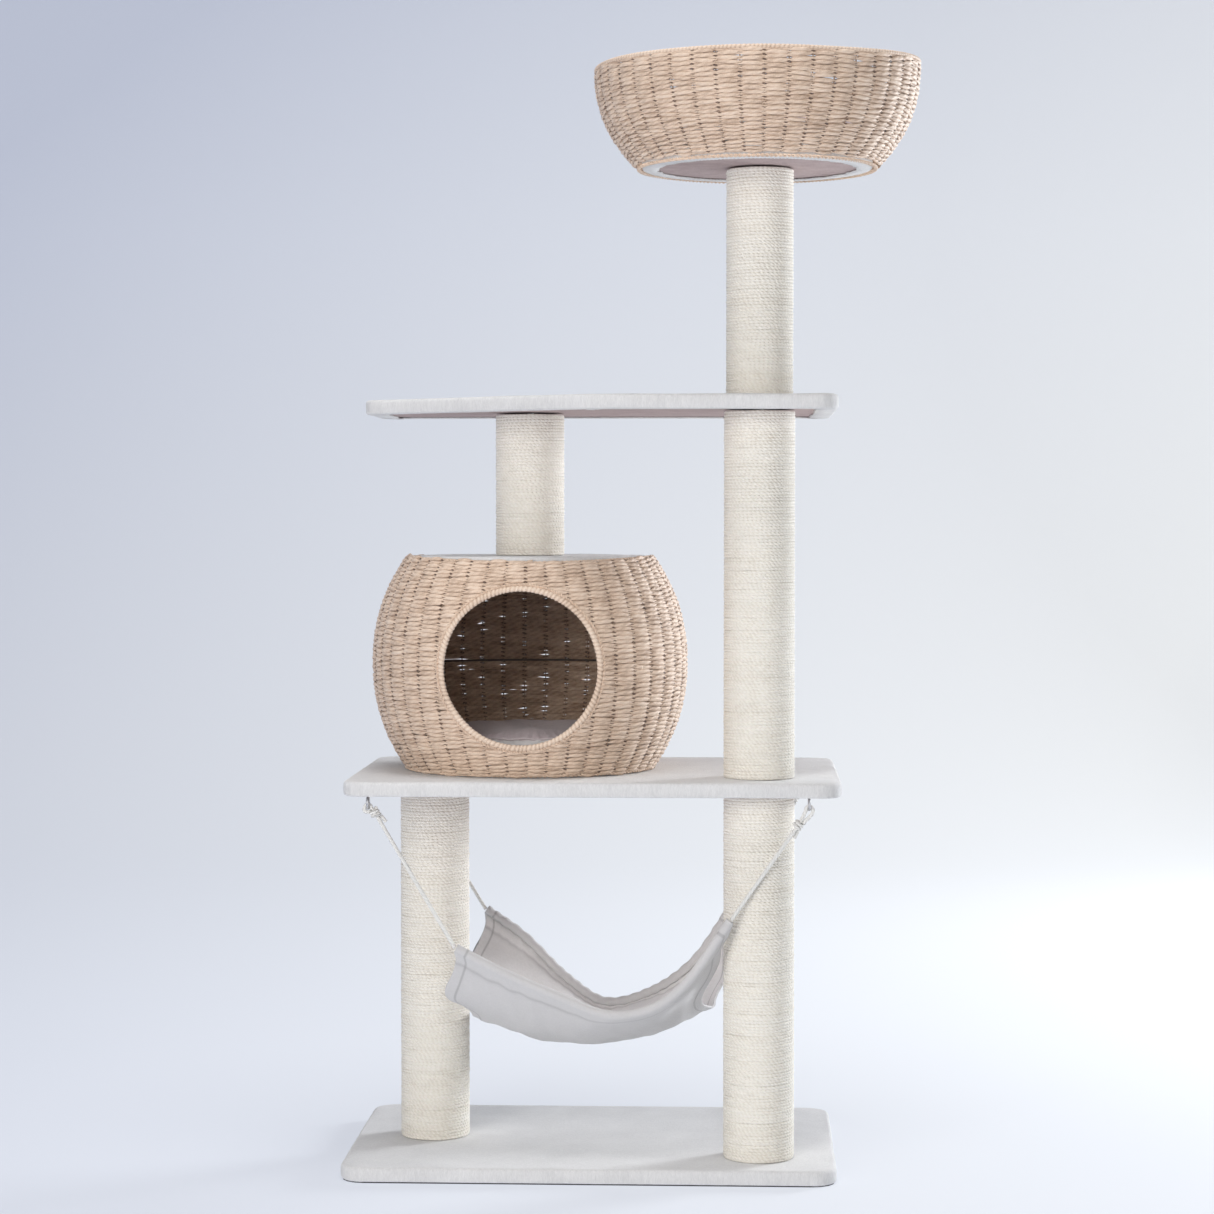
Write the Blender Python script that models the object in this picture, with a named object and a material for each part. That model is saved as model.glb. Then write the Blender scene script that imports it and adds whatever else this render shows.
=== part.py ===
"""Cat tree: three plush boards on sisal posts, a woven cave, a woven bowl and a hammock.

Metres, +Z up. The origin is the centre of the base's underside, +X is to the right
as seen from the front, and the front faces -Y.
"""
import math

import bmesh
import bpy
from mathutils import Vector

# ---------------------------------------------------------------- driving dimensions
GAP = 0.0003                    # clearance between neighbouring pieces

BOARD_WIDTH = 0.600
BOARD_DEPTH = 0.390
MIDDLE_SHIFT = 0.005            # the middle board stands this far to the right
CORNER_RADIUS = 0.030
BOARD_CORE = 0.014              # fibreboard thickness
COVER = 0.0017                  # plush thickness on top and sides
FOLD = 0.0015                   # plush thickness where it is folded under
FOLD_WIDTH = 0.025
UNDERLAY = 0.0010
PLATFORM = FOLD + GAP + BOARD_CORE + GAP + COVER

BASE_BOTTOM = UNDERLAY + GAP
BASE_TOP = BASE_BOTTOM + PLATFORM
MIDDLE_BOTTOM = 0.4665
MIDDLE_TOP = MIDDLE_BOTTOM + PLATFORM
TOP_BOTTOM = 0.9310
TOP_TOP = TOP_BOTTOM + PLATFORM

TOP_FRONT = -0.205              # the top board's edges
TOP_REAR = 0.180
TOP_LEFT = -0.288
TOP_RIGHT = 0.300
TOP_BEND_X = 0.000              # where the front edge starts to slant back
TOP_LEFT_FRONT = -0.010

RIGHT_POST = Vector((0.2065, -0.1125))
LEFT_POST = Vector((-0.2020, 0.0040))
CAVE_CENTRE = Vector((-0.0820, 0.0174))
BOWL_CENTRE = Vector((0.2030, -0.1125))

CORE_OUTER = 0.0393             # cardboard tube
CORE_WALL = 0.0048
SISAL_OUTER = 0.0435
SLIM_SHRINK = 0.0025            # the upper right post is this much slimmer in radius
SISAL_THICKNESS = 0.0035
PLUG_LENGTH = 0.018
PLUG_HOLE = 0.0044

BOLT_RADIUS = 0.0040
BOLT_HOLE = 0.0050
HEAD_RADIUS = 0.0100
HEAD_HEIGHT = 0.0035
HEAD_RECESS = 0.0112
SCREW_RADIUS = 0.0022
SCREW_HOLE = 0.0030
SCREW_HEAD = 0.0050
STUD_REACH = 0.0140             # thread inside a plug

CAVE_BOTTOM = MIDDLE_TOP + GAP
CAVE_WEAVE_TOP = 0.7480
CAVE_TOP = 0.7535
CAVE_END_RADIUS = 0.1560
CAVE_BULGE = 0.0430
CAVE_ROUNDNESS = 2.2
WALL = 0.0050                   # woven wall thickness
ENTRANCE_Z = 0.6190
ENTRANCE_RADIUS = 0.0965
RIM_RADIUS = 0.0036
FLOOR_RADIUS = 0.1500
FLOOR_CORE = 0.0120
PLATFORM_ROUND = FOLD + GAP + FLOOR_CORE + GAP + COVER
HOOP_Z = 0.6120
HOOP_WIRE = 0.0013
CAVE_PAD_RADIUS = 0.1280
CAVE_PAD_HEIGHT = 0.0365

BOWL_BOTTOM = 1.2229
BOWL_RIM_TOP = 1.3450
BOWL_LOW_RADIUS = 0.1445
BOWL_FLARE = 0.0530
BOWL_ROUNDNESS = 2.4
BOWL_FLOOR_RADIUS = 0.1392
BOWL_FOLD_WIDTH = 0.019
BOWL_RIM_RADIUS = 0.0040
BOWL_PAD_RADIUS = 0.1360
BOWL_PAD_HEIGHT = 0.0340

ROPE_RADIUS = 0.0025
EYE_WIRE = 0.0016
EYE_RADIUS = 0.0070
EYE_X = 0.2665
EYE_Y = 0.1630
EYE_DROP = 0.0166               # from the board's underside to the lowest wire's centre
EYE_SCREW = 0.0120              # shank inside the board
ROPE_BEND = EYE_WIRE + ROPE_RADIUS + GAP
EYE_Z = MIDDLE_BOTTOM - EYE_DROP

HEM_RADIUS = 0.0046             # centreline of the hem's curl around its cord
SHEET = 0.0024                  # double fabric
SHEET_STATIONS = 15
SHEET_STEPS = 9
HEM_STEPS = 6

POST_STEPS = 24
CORE_STEPS = 20
PLUG_STEPS = 12
BOLT_STEPS = 10
WEAVE_STEPS = 32


# ---------------------------------------------------------------- materials
def material(name, colour, roughness, metallic=0.0):
    mat = bpy.data.materials.new(name)
    mat.use_nodes = True
    shader = mat.node_tree.nodes["Principled BSDF"]
    shader.inputs["Base Color"].default_value = (*colour, 1.0)
    shader.inputs["Roughness"].default_value = roughness
    shader.inputs["Metallic"].default_value = metallic
    return mat


def make_materials():
    return {
        "plush": material("plush", (0.66, 0.66, 0.67), 0.95),
        "board": material("board", (0.42, 0.31, 0.23), 0.85),
        "felt": material("felt", (0.06, 0.06, 0.065), 0.95),
        "cardboard": material("cardboard", (0.45, 0.32, 0.20), 0.90),
        "sisal": material("sisal", (0.78, 0.70, 0.57), 0.90),
        "plug": material("plug", (0.05, 0.05, 0.05), 0.50),
        "zinc": material("zinc", (0.60, 0.60, 0.61), 0.35, 1.0),
        "wicker": material("wicker", (0.68, 0.49, 0.34), 0.80),
        "wire": material("wire", (0.20, 0.18, 0.17), 0.45, 1.0),
        "cushion": material("cushion", (0.50, 0.40, 0.42), 0.95),
        "hammock": material("hammock", (0.60, 0.60, 0.60), 0.95),
        "rope": material("rope", (0.80, 0.79, 0.75), 0.85),
    }


# ---------------------------------------------------------------- mesh tools
def clear_scene():
    for obj in list(bpy.data.objects):
        bpy.data.objects.remove(obj, do_unlink=True)


def add_object(name, data, mat):
    obj = bpy.data.objects.new(name, data)
    data.materials.append(mat)
    bpy.context.scene.collection.objects.link(obj)
    return obj


def skin(name, rings, closed, mat, sharp=40.0):
    """Join rings of equally many points; closed joins last to first, else both ends are capped."""
    bm = bmesh.new()
    loops = [[bm.verts.new(point) for point in ring] for ring in rings]
    pairs = list(zip(loops, loops[1:]))
    if closed:
        pairs.append((loops[-1], loops[0]))
    else:
        bm.faces.new(loops[0])
        bm.faces.new(loops[-1])
    count = len(loops[0])
    for low, high in pairs:
        for i in range(count):
            j = (i + 1) % count
            bm.faces.new((low[i], low[j], high[j], high[i]))
    bmesh.ops.recalc_face_normals(bm, faces=bm.faces)
    mesh = bpy.data.meshes.new(name)
    bm.to_mesh(mesh)
    bm.free()
    mesh.shade_smooth()
    mesh.set_sharp_from_angle(angle=math.radians(sharp))
    return add_object(name, mesh, mat)


def circle(centre, radius, z, steps):
    turn = 2.0 * math.pi / steps
    return [Vector((centre.x + radius * math.cos(turn * i), centre.y + radius * math.sin(turn * i), z))
            for i in range(steps)]


def turned(name, centre, profile, steps, mat, closed=True):
    """Turn a profile of (radius, z) about the vertical line through centre."""
    rings = [circle(centre, radius, z, steps) for radius, z in profile]
    return skin(name, rings, closed, mat)


def drill(obj, centre, radius, z_low, z_high, steps=12):
    """Cut a vertical hole with an exact Boolean; the cutter stays as a wire guide."""
    cutter = turned(obj.name + "_cutter", centre, [(radius, z_low), (radius, z_high)], steps,
                    obj.data.materials[0], closed=False)
    hide_guide(cutter)
    cut(obj, cutter)


def hide_guide(obj):
    obj.hide_render = True
    obj.display_type = "WIRE"


def cut(obj, cutter):
    boolean = obj.modifiers.new("cut", "BOOLEAN")
    boolean.operation = "DIFFERENCE"
    boolean.solver = "EXACT"
    boolean.object = cutter


def smooth_path(points, count):
    """Read count points, evenly spaced in the parameter, off a Catmull-Rom curve through points."""
    ends = [points[0] * 2 - points[1], *points, points[-1] * 2 - points[-2]]
    spans = len(points) - 1
    path = []
    for i in range(count):
        t = i * spans / (count - 1)
        k = min(int(t), spans - 1)
        u = t - k
        a, b, c, d = ends[k:k + 4]
        path.append(0.5 * (2 * b + (c - a) * u + (2 * a - 5 * b + 4 * c - d) * u * u
                           + (3 * b - a - 3 * c + d) * u ** 3))
    return path


def tube(name, points, radius, mat):
    """A cord or wire: a poly curve with a round section and closed ends."""
    curve = bpy.data.curves.new(name, "CURVE")
    curve.dimensions = "3D"
    curve.bevel_depth = radius
    curve.bevel_resolution = 2
    curve.use_fill_caps = True
    spline = curve.splines.new("POLY")
    spline.points.add(len(points) - 1)
    for slot, point in zip(spline.points, points):
        slot.co = (*point, 1.0)
    return add_object(name, curve, mat)


# ---------------------------------------------------------------- outlines
def rectangle(width, depth, shift=0.0):
    x, y = width / 2, depth / 2
    return [Vector((shift - x, -y)), Vector((shift + x, -y)), Vector((shift + x, y)), Vector((shift - x, y))]


def rounded(corners, radius, inset, z):
    """A counter-clockwise polygon with rounded corners, moved inwards by inset."""
    ring = []
    bend = max(radius, inset + 0.002)
    for i, corner in enumerate(corners):
        before = (corner - corners[i - 1]).normalized()
        after = (corners[(i + 1) % len(corners)] - corner).normalized()
        inward_before = Vector((-before.y, before.x))
        inward_after = Vector((-after.y, after.x))
        centre = corner + (inward_before + inward_after) * bend / (1 + inward_before.dot(inward_after))
        start = math.atan2(-inward_before.y, -inward_before.x)
        turn = before.angle(after)
        steps = max(2, math.ceil(turn / math.radians(23)))
        for k in range(steps + 1):
            angle = start + turn * k / steps
            reach = bend - inset
            ring.append(Vector((centre.x + reach * math.cos(angle), centre.y + reach * math.sin(angle), z)))
    return ring


def cover_rings(outline, z_bottom, z_top, fold_width):
    """Rings of a fabric skin: over the top, down the sides and folded under by fold_width."""
    return [
        outline(COVER, z_top - COVER),
        outline(COVER, z_bottom + FOLD),
        outline(fold_width, z_bottom + FOLD),
        outline(fold_width, z_bottom),
        outline(0.0, z_bottom),
        outline(0.0, z_top - 0.0020),
        outline(0.0020, z_top),
    ]


def platform(prefix, corners, z_bottom, mats):
    """A fibreboard core and its plush cover."""
    z_top = z_bottom + PLATFORM
    inset = COVER + GAP

    def outline(offset, z):
        return rounded(corners, CORNER_RADIUS, offset, z)

    low = z_bottom + FOLD + GAP
    board = skin(prefix + "_board", [outline(inset, low), outline(inset, low + BOARD_CORE)], False, mats["board"])
    cover = skin(prefix + "_cover", cover_rings(outline, z_bottom, z_top, FOLD_WIDTH), False, mats["plush"])
    return board, cover


def round_platform(prefix, centre, radius, z_bottom, z_top, fold_width, mats):
    """A round board with its plush cover."""
    def outline(offset, z):
        return circle(centre, radius - offset, z, WEAVE_STEPS)

    inset = COVER + GAP
    rings = [outline(inset, z_bottom + FOLD + GAP), outline(inset, z_top - COVER - GAP)]
    board = skin(prefix + "_board", rings, False, mats["board"])
    cover = skin(prefix + "_cover", cover_rings(outline, z_bottom, z_top, fold_width), False, mats["plush"])
    return board, cover


# ---------------------------------------------------------------- boards
def make_boards(mats):
    plain = rectangle(BOARD_WIDTH, BOARD_DEPTH)
    slanted = [
        Vector((TOP_BEND_X, TOP_FRONT)),
        Vector((TOP_RIGHT, TOP_FRONT)),
        Vector((TOP_RIGHT, TOP_REAR)),
        Vector((TOP_LEFT, TOP_REAR)),
        Vector((TOP_LEFT, TOP_LEFT_FRONT)),
    ]
    underlay = skin("base_underlay", [rounded(plain, CORNER_RADIUS, 0.002, z) for z in (0.0, UNDERLAY)],
                    False, mats["felt"])
    base_board, _ = platform("base", plain, BASE_BOTTOM, mats)
    shifted = rectangle(BOARD_WIDTH, BOARD_DEPTH, MIDDLE_SHIFT)
    middle_board, middle_cover = platform("middle", shifted, MIDDLE_BOTTOM, mats)
    top_board, top_cover = platform("top", slanted, TOP_BOTTOM, mats)
    base_cover = bpy.data.objects["base_cover"]

    for post in (LEFT_POST, RIGHT_POST):
        drill(underlay, post, HEAD_RECESS, -0.01, 0.01)
        drill(base_board, post, BOLT_HOLE, -0.01, BASE_TOP + 0.01)
        drill(base_board, post, HEAD_RECESS, -0.01, BASE_BOTTOM + FOLD + GAP + HEAD_HEIGHT + 2 * GAP)
        drill(base_cover, post, BOLT_HOLE, BASE_TOP - 0.005, BASE_TOP + 0.01)

    drill(middle_board, RIGHT_POST, BOLT_HOLE, MIDDLE_BOTTOM - 0.01, MIDDLE_TOP + 0.01)
    drill(middle_cover, RIGHT_POST, BOLT_HOLE, MIDDLE_TOP - 0.005, MIDDLE_TOP + 0.01)
    drill(middle_board, LEFT_POST, BOLT_HOLE, MIDDLE_BOTTOM - 0.01, MIDDLE_TOP + 0.01)
    drill(middle_board, LEFT_POST, HEAD_RECESS, middle_bolt_seat(), MIDDLE_TOP + 0.01)
    drill(middle_cover, LEFT_POST, HEAD_RECESS, MIDDLE_TOP - 0.005, MIDDLE_TOP + 0.01)
    drill(middle_board, CAVE_CENTRE, SCREW_HOLE, MIDDLE_TOP - 0.012, MIDDLE_TOP + 0.01)
    drill(middle_cover, CAVE_CENTRE, SCREW_HOLE, MIDDLE_TOP - 0.005, MIDDLE_TOP + 0.01)
    for corner in eye_positions():
        eye = Vector((corner.x, corner.y))
        drill(middle_board, eye, EYE_WIRE + 2 * GAP, MIDDLE_BOTTOM - 0.01, MIDDLE_BOTTOM + EYE_SCREW + 3 * GAP, 10)

    for post in (CAVE_CENTRE, RIGHT_POST):
        drill(top_board, post, BOLT_HOLE, TOP_BOTTOM - 0.01, TOP_TOP + 0.01)
        drill(top_cover, post, BOLT_HOLE, TOP_TOP - 0.005, TOP_TOP + 0.01)


def middle_bolt_seat():
    return MIDDLE_TOP - COVER - HEAD_HEIGHT - GAP


# ---------------------------------------------------------------- posts
def make_post(place, centre, z_low, z_high, mats, slim=0.0):
    """A cardboard tube with a plug in each end and a wrap of sisal rope around it."""
    low, high = z_low + GAP, z_high - GAP
    core = CORE_OUTER - slim
    outer = SISAL_OUTER - slim
    inner = outer - SISAL_THICKNESS
    bore = core - CORE_WALL
    turned("post_core_" + place, centre, [(core, low), (core, high), (bore, high), (bore, low)],
           CORE_STEPS, mats["cardboard"])
    turned("sisal_" + place, centre, [(outer, low), (outer, high), (inner, high), (inner, low)],
           POST_STEPS, mats["sisal"])
    plug = bore - 0.0007
    for end, start in (("bottom", low), ("top", high - PLUG_LENGTH)):
        stop = start + PLUG_LENGTH
        turned(f"plug_{place}_{end}", centre,
               [(plug, start), (plug, stop), (PLUG_HOLE, stop), (PLUG_HOLE, start)], PLUG_STEPS, mats["plug"])


def make_posts(mats):
    make_post("lower_left", LEFT_POST, BASE_TOP, MIDDLE_BOTTOM, mats)
    make_post("lower_right", RIGHT_POST, BASE_TOP, MIDDLE_BOTTOM, mats)
    make_post("middle_right", RIGHT_POST, MIDDLE_TOP, TOP_BOTTOM, mats)
    make_post("upper_left", CAVE_CENTRE, CAVE_TOP, TOP_BOTTOM, mats)
    make_post("upper_right", RIGHT_POST, TOP_TOP, BOWL_BOTTOM, mats, slim=SLIM_SHRINK)


# ---------------------------------------------------------------- fasteners
def make_bolt(name, centre, head_z, tip_z, mats):
    """A flat-headed bolt; the head's inner face is at head_z and it points towards tip_z."""
    out = math.copysign(HEAD_HEIGHT, head_z - tip_z)
    profile = [(HEAD_RADIUS, head_z + out), (HEAD_RADIUS, head_z), (BOLT_RADIUS, head_z), (BOLT_RADIUS, tip_z)]
    turned(name, centre, profile, BOLT_STEPS, mats["zinc"], closed=False)


def make_stud(name, centre, z_low, z_high, mats):
    turned(name, centre, [(BOLT_RADIUS, z_low), (BOLT_RADIUS, z_high)], BOLT_STEPS, mats["zinc"], closed=False)


def make_fasteners(mats):
    base_seat = BASE_BOTTOM + FOLD + GAP + HEAD_HEIGHT + GAP
    make_bolt("base_bolt_left", LEFT_POST, base_seat, BASE_TOP + STUD_REACH, mats)
    make_bolt("base_bolt_right", RIGHT_POST, base_seat, BASE_TOP + STUD_REACH, mats)
    make_bolt("middle_bolt_left", LEFT_POST, middle_bolt_seat() + GAP, MIDDLE_BOTTOM - STUD_REACH, mats)
    make_stud("middle_stud_right", RIGHT_POST, MIDDLE_BOTTOM - STUD_REACH, MIDDLE_TOP + STUD_REACH, mats)
    make_stud("top_stud_right", RIGHT_POST, TOP_BOTTOM - STUD_REACH, TOP_TOP + STUD_REACH, mats)
    make_bolt("top_bolt_left", CAVE_CENTRE, TOP_TOP + GAP, TOP_BOTTOM - STUD_REACH, mats)
    make_bolt("cave_bolt", CAVE_CENTRE, CAVE_TOP - PLATFORM_ROUND - GAP, CAVE_TOP + STUD_REACH, mats)
    make_bolt("bowl_bolt", RIGHT_POST, BOWL_BOTTOM + PLATFORM_ROUND + GAP, BOWL_BOTTOM - STUD_REACH, mats)
    head = cave_floor_top() + GAP
    profile = [(SCREW_HEAD, head + 0.002), (SCREW_HEAD, head), (SCREW_RADIUS, head),
               (SCREW_RADIUS, MIDDLE_TOP - 0.011)]
    turned("cave_floor_screw", CAVE_CENTRE, profile, BOLT_STEPS, mats["zinc"], closed=False)


# ---------------------------------------------------------------- cave
def cave_floor_top():
    return CAVE_BOTTOM + PLATFORM_ROUND


def barrel_radius(z):
    """Outer radius of the cave's woven wall at height z."""
    middle = (CAVE_BOTTOM + CAVE_TOP) / 2
    half = (CAVE_TOP - CAVE_BOTTOM) / 2
    share = min(1.0, abs(z - middle) / half)
    return CAVE_END_RADIUS + CAVE_BULGE * (1 - share ** CAVE_ROUNDNESS)


def wall_profile(radius_at, z_low, z_high, steps):
    """Closed profile of a woven wall: up its outside and down its inside."""
    heights = [z_low + (z_high - z_low) * i / steps for i in range(steps + 1)]
    outside = [(radius_at(z), z) for z in heights]
    inside = [(radius_at(z) - WALL, z) for z in reversed(heights)]
    return outside + inside


def make_cave(mats):
    wicker = turned("cave_wicker", CAVE_CENTRE, wall_profile(barrel_radius, CAVE_BOTTOM, CAVE_WEAVE_TOP, 8),
                    WEAVE_STEPS, mats["wicker"])
    cutter = entrance_cutter(mats)
    hide_guide(cutter)
    cut(wicker, cutter)
    make_entrance_rim(mats)
    make_hoop(mats)
    floor, floor_cover = round_platform("cave_floor", CAVE_CENTRE, FLOOR_RADIUS, CAVE_BOTTOM,
                                        cave_floor_top(), FOLD_WIDTH, mats)
    roof_low = CAVE_TOP - PLATFORM_ROUND
    roof, roof_cover = round_platform("cave_top", CAVE_CENTRE, FLOOR_RADIUS - 0.001, roof_low, CAVE_TOP,
                                      FOLD_WIDTH, mats)
    drill(floor, CAVE_CENTRE, SCREW_HOLE, CAVE_BOTTOM - 0.01, cave_floor_top() + 0.01)
    drill(floor_cover, CAVE_CENTRE, SCREW_HOLE, cave_floor_top() - 0.005, cave_floor_top() + 0.01)
    drill(roof, CAVE_CENTRE, BOLT_HOLE, roof_low - 0.01, CAVE_TOP + 0.01)
    drill(roof, CAVE_CENTRE, HEAD_RECESS, roof_low - 0.01, roof_low + FOLD + 2 * GAP)
    drill(roof_cover, CAVE_CENTRE, BOLT_HOLE, CAVE_TOP - 0.005, CAVE_TOP + 0.01)
    cushion = make_cushion("cave_cushion", CAVE_CENTRE, CAVE_PAD_RADIUS, cave_floor_top() + 0.003, CAVE_PAD_HEIGHT, mats)
    hang_on("cave_cushion_axis", Vector((*CAVE_CENTRE, cave_floor_top())), [cushion])


def entrance_cutter(mats):
    radius = ENTRANCE_RADIUS + 2 * RIM_RADIUS + GAP - 0.0036
    steps = 28
    rings = []
    for y in (CAVE_CENTRE.y - 0.30, CAVE_CENTRE.y - 0.08):
        rings.append([Vector((CAVE_CENTRE.x + radius * math.cos(2 * math.pi * i / steps), y,
                              ENTRANCE_Z + radius * math.sin(2 * math.pi * i / steps))) for i in range(steps)])
    return skin("cave_entrance_cutter", rings, False, mats["wicker"])


def make_entrance_rim(mats):
    """A bound rope edge that follows the round hole over the barrel's surface."""
    reach = ENTRANCE_RADIUS + RIM_RADIUS - 0.0036
    steps, sides = 28, 6
    path = []
    for i in range(steps):
        angle = 2 * math.pi * i / steps
        x, z = reach * math.cos(angle), ENTRANCE_Z + reach * math.sin(angle)
        middle = barrel_radius(z) - WALL / 2
        path.append(Vector((CAVE_CENTRE.x + x, CAVE_CENTRE.y - math.sqrt(middle ** 2 - x ** 2), z)))
    rings = []
    for i, point in enumerate(path):
        along = (path[(i + 1) % steps] - path[i - 1]).normalized()
        angle = 2 * math.pi * i / steps
        outward = Vector((math.cos(angle), 0.0, math.sin(angle)))
        outward = (outward - along * outward.dot(along)).normalized()
        side = along.cross(outward)
        rings.append([point + RIM_RADIUS * (outward * math.cos(2 * math.pi * k / sides)
                                            + side * math.sin(2 * math.pi * k / sides)) for k in range(sides)])
    skin("cave_entrance_rim", rings, True, mats["wicker"])


def make_hoop(mats):
    """A wire hoop inside the wall, open across the entrance."""
    radius = (barrel_radius(HOOP_Z) - WALL) * math.cos(math.pi / WEAVE_STEPS) - HOOP_WIRE - 2 * GAP
    opening = math.radians(37)
    first, last = -math.pi / 2 + opening, 3 * math.pi / 2 - opening
    steps = 24
    points = []
    for i in range(steps + 1):
        angle = first + (last - first) * i / steps
        points.append(Vector((CAVE_CENTRE.x + radius * math.cos(angle),
                              CAVE_CENTRE.y + radius * math.sin(angle), HOOP_Z)))
    tube("cave_hoop", points, HOOP_WIRE, mats["wire"])


# ---------------------------------------------------------------- cushions
def make_cushion(name, centre, radius, z_low, height, mats):
    """A round boxed pad: flat underneath, upright sides up to the seam, and a crowned top."""
    shares = [(0.30, 0.00), (0.92, 0.01), (0.99, 0.10), (1.00, 0.36), (0.99, 0.60), (0.90, 0.76), (0.62, 0.92),
              (0.15, 1.00)]
    profile = [(radius * out, z_low + height * up) for out, up in shares]
    return turned(name, centre, profile, 20, mats["cushion"], closed=False)


# ---------------------------------------------------------------- bowl
def bowl_radius(z):
    """Outer radius of the bowl's woven wall at height z."""
    share = (BOWL_RIM_TOP - z) / (BOWL_RIM_TOP - BOWL_BOTTOM)
    return BOWL_LOW_RADIUS + BOWL_FLARE * (1 - share ** BOWL_ROUNDNESS)


def make_bowl(mats):
    weave_top = BOWL_RIM_TOP - 2 * BOWL_RIM_RADIUS - GAP
    turned("bowl_wicker", BOWL_CENTRE, wall_profile(bowl_radius, BOWL_BOTTOM, weave_top, 6), WEAVE_STEPS,
           mats["wicker"])
    rim_z = BOWL_RIM_TOP - BOWL_RIM_RADIUS
    rim_reach = bowl_radius(weave_top) - WALL / 2
    sides = 6
    profile = [(rim_reach + BOWL_RIM_RADIUS * math.cos(2 * math.pi * k / sides),
                rim_z + BOWL_RIM_RADIUS * math.sin(2 * math.pi * k / sides)) for k in range(sides)]
    turned("bowl_rim", BOWL_CENTRE, profile, WEAVE_STEPS, mats["wicker"])
    floor_top = BOWL_BOTTOM + PLATFORM_ROUND
    floor, cover = round_platform("bowl_floor", BOWL_CENTRE, BOWL_FLOOR_RADIUS, BOWL_BOTTOM, floor_top,
                                  BOWL_FOLD_WIDTH, mats)
    drill(floor, RIGHT_POST, BOLT_HOLE, BOWL_BOTTOM - 0.01, floor_top + 0.01)
    drill(cover, RIGHT_POST, BOLT_HOLE, floor_top - 0.005, floor_top + 0.01)
    cushion = make_cushion("bowl_cushion", BOWL_CENTRE, BOWL_PAD_RADIUS, floor_top + HEAD_HEIGHT + 3 * GAP,
                           BOWL_PAD_HEIGHT, mats)
    hang_on("bowl_cushion_axis", Vector((*BOWL_CENTRE, floor_top)), [cushion])


# ---------------------------------------------------------------- hammock
FRONT_HEM = [(-0.160, -0.163, 0.2800), (-0.100, -0.161, 0.2490), (-0.030, -0.159, 0.2190),
             (0.022, -0.158, 0.2000), (0.075, -0.159, 0.2075), (0.120, -0.161, 0.2410), (0.172, -0.163, 0.3150)]
REAR_HEM = [(-0.150, 0.163, 0.2840), (-0.100, 0.161, 0.2490), (-0.045, 0.159, 0.1960),
            (0.008, 0.158, 0.1640), (0.070, 0.159, 0.1790), (0.125, 0.161, 0.2190), (0.172, 0.163, 0.2860)]
LEFT_END = [(0.0, -0.160), (0.17, -0.180), (0.34, -0.153), (0.66, -0.153), (0.83, -0.166), (1.0, -0.150)]
RIGHT_END = [(0.0, 0.172), (0.08, 0.160), (0.30, 0.145), (0.60, 0.150), (0.85, 0.172), (1.0, 0.171)]
SAGS = [0.097, 0.086, 0.053, 0.036, 0.060, 0.100]      # evenly spaced from the left end to the right end
ROPE_SPOTS = {
    # knot just below the eye, and the point where the rope enters the hem
    "front_left": (Vector((-0.2575, -EYE_Y, 0.4440)), FRONT_HEM[0], FRONT_HEM[1]),
    "front_right": (Vector((0.2550, -EYE_Y, 0.4340)), FRONT_HEM[-1], FRONT_HEM[-2]),
    "rear_left": (Vector((-0.2450, EYE_Y, 0.4380)), REAR_HEM[0], REAR_HEM[1]),
    "rear_right": (Vector((0.2550, EYE_Y, 0.4340)), REAR_HEM[-1], REAR_HEM[-2]),
}
SWING_Z = EYE_Z + ROPE_BEND
LEVEL_Z = 0.2915


def eased(stops, at):
    """A smooth curve through (place, value) stops."""
    for (first, low), (last, high) in zip(stops, stops[1:]):
        if at <= last:
            share = max(0.0, (at - first) / (last - first))
            return low + (high - low) * (0.5 - 0.5 * math.cos(math.pi * share))
    return stops[-1][1]


def end_reach(across):
    """How far the left and right ends of the sheet stand out, by the share across it."""
    return eased(LEFT_END, across), eased(RIGHT_END, across)


def sheet_point(front, rear, across, sag):
    """A point of the hanging sheet, across from the front hem to the rear hem."""
    left, right = end_reach(across)
    left_hem, right_hem = end_reach(0.0 if across < 0.5 else 1.0)
    share = (front.x + (rear.x - front.x) * across - left_hem) / (right_hem - left_hem)
    x = left + (right - left) * min(1.0, max(0.0, share))
    y = front.y + (rear.y - front.y) * across
    z = front.z + (rear.z - front.z) * across - 4 * sag * across * (1 - across)
    return Vector((x, y, z))


def hem_curl(centre, along, mirror):
    """Points of the hem's curl around its cord, seen along the hem."""
    side = Vector((0.0, mirror, 0.0))
    up = along.cross(Vector((0.0, 1.0, 0.0)))
    if up.z < 0:
        up = -up
    first, last = math.radians(-45), math.radians(225)
    curl = []
    for k in range(HEM_STEPS + 1):
        angle = first + (last - first) * k / HEM_STEPS
        curl.append(centre + HEM_RADIUS * (side * math.cos(angle) + up * math.sin(angle)))
    return curl


def hammock_rows():
    """Middle-surface points: one row for each station from left to right."""
    front_path = smooth_path([Vector(p) for p in FRONT_HEM], SHEET_STATIONS)
    rear_path = smooth_path([Vector(p) for p in REAR_HEM], SHEET_STATIONS)
    sags = smooth_path([Vector((0, 0, sag)) for sag in SAGS], SHEET_STATIONS)
    rows = []
    for i in range(SHEET_STATIONS):
        low, high = max(0, i - 1), min(SHEET_STATIONS - 1, i + 1)
        front_along = (front_path[high] - front_path[low]).normalized()
        rear_along = (rear_path[high] - rear_path[low]).normalized()
        row = hem_curl(front_path[i], front_along, 1.0)
        for k in range(1, SHEET_STEPS):
            share = 0.02 + 0.96 * k / SHEET_STEPS
            point = sheet_point(front_path[i], rear_path[i], share, sags[i].z)
            point.z -= HEM_RADIUS
            row.append(point)
        row.extend(reversed(hem_curl(rear_path[i], rear_along, -1.0)))
        rows.append(row)
    return rows


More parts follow.
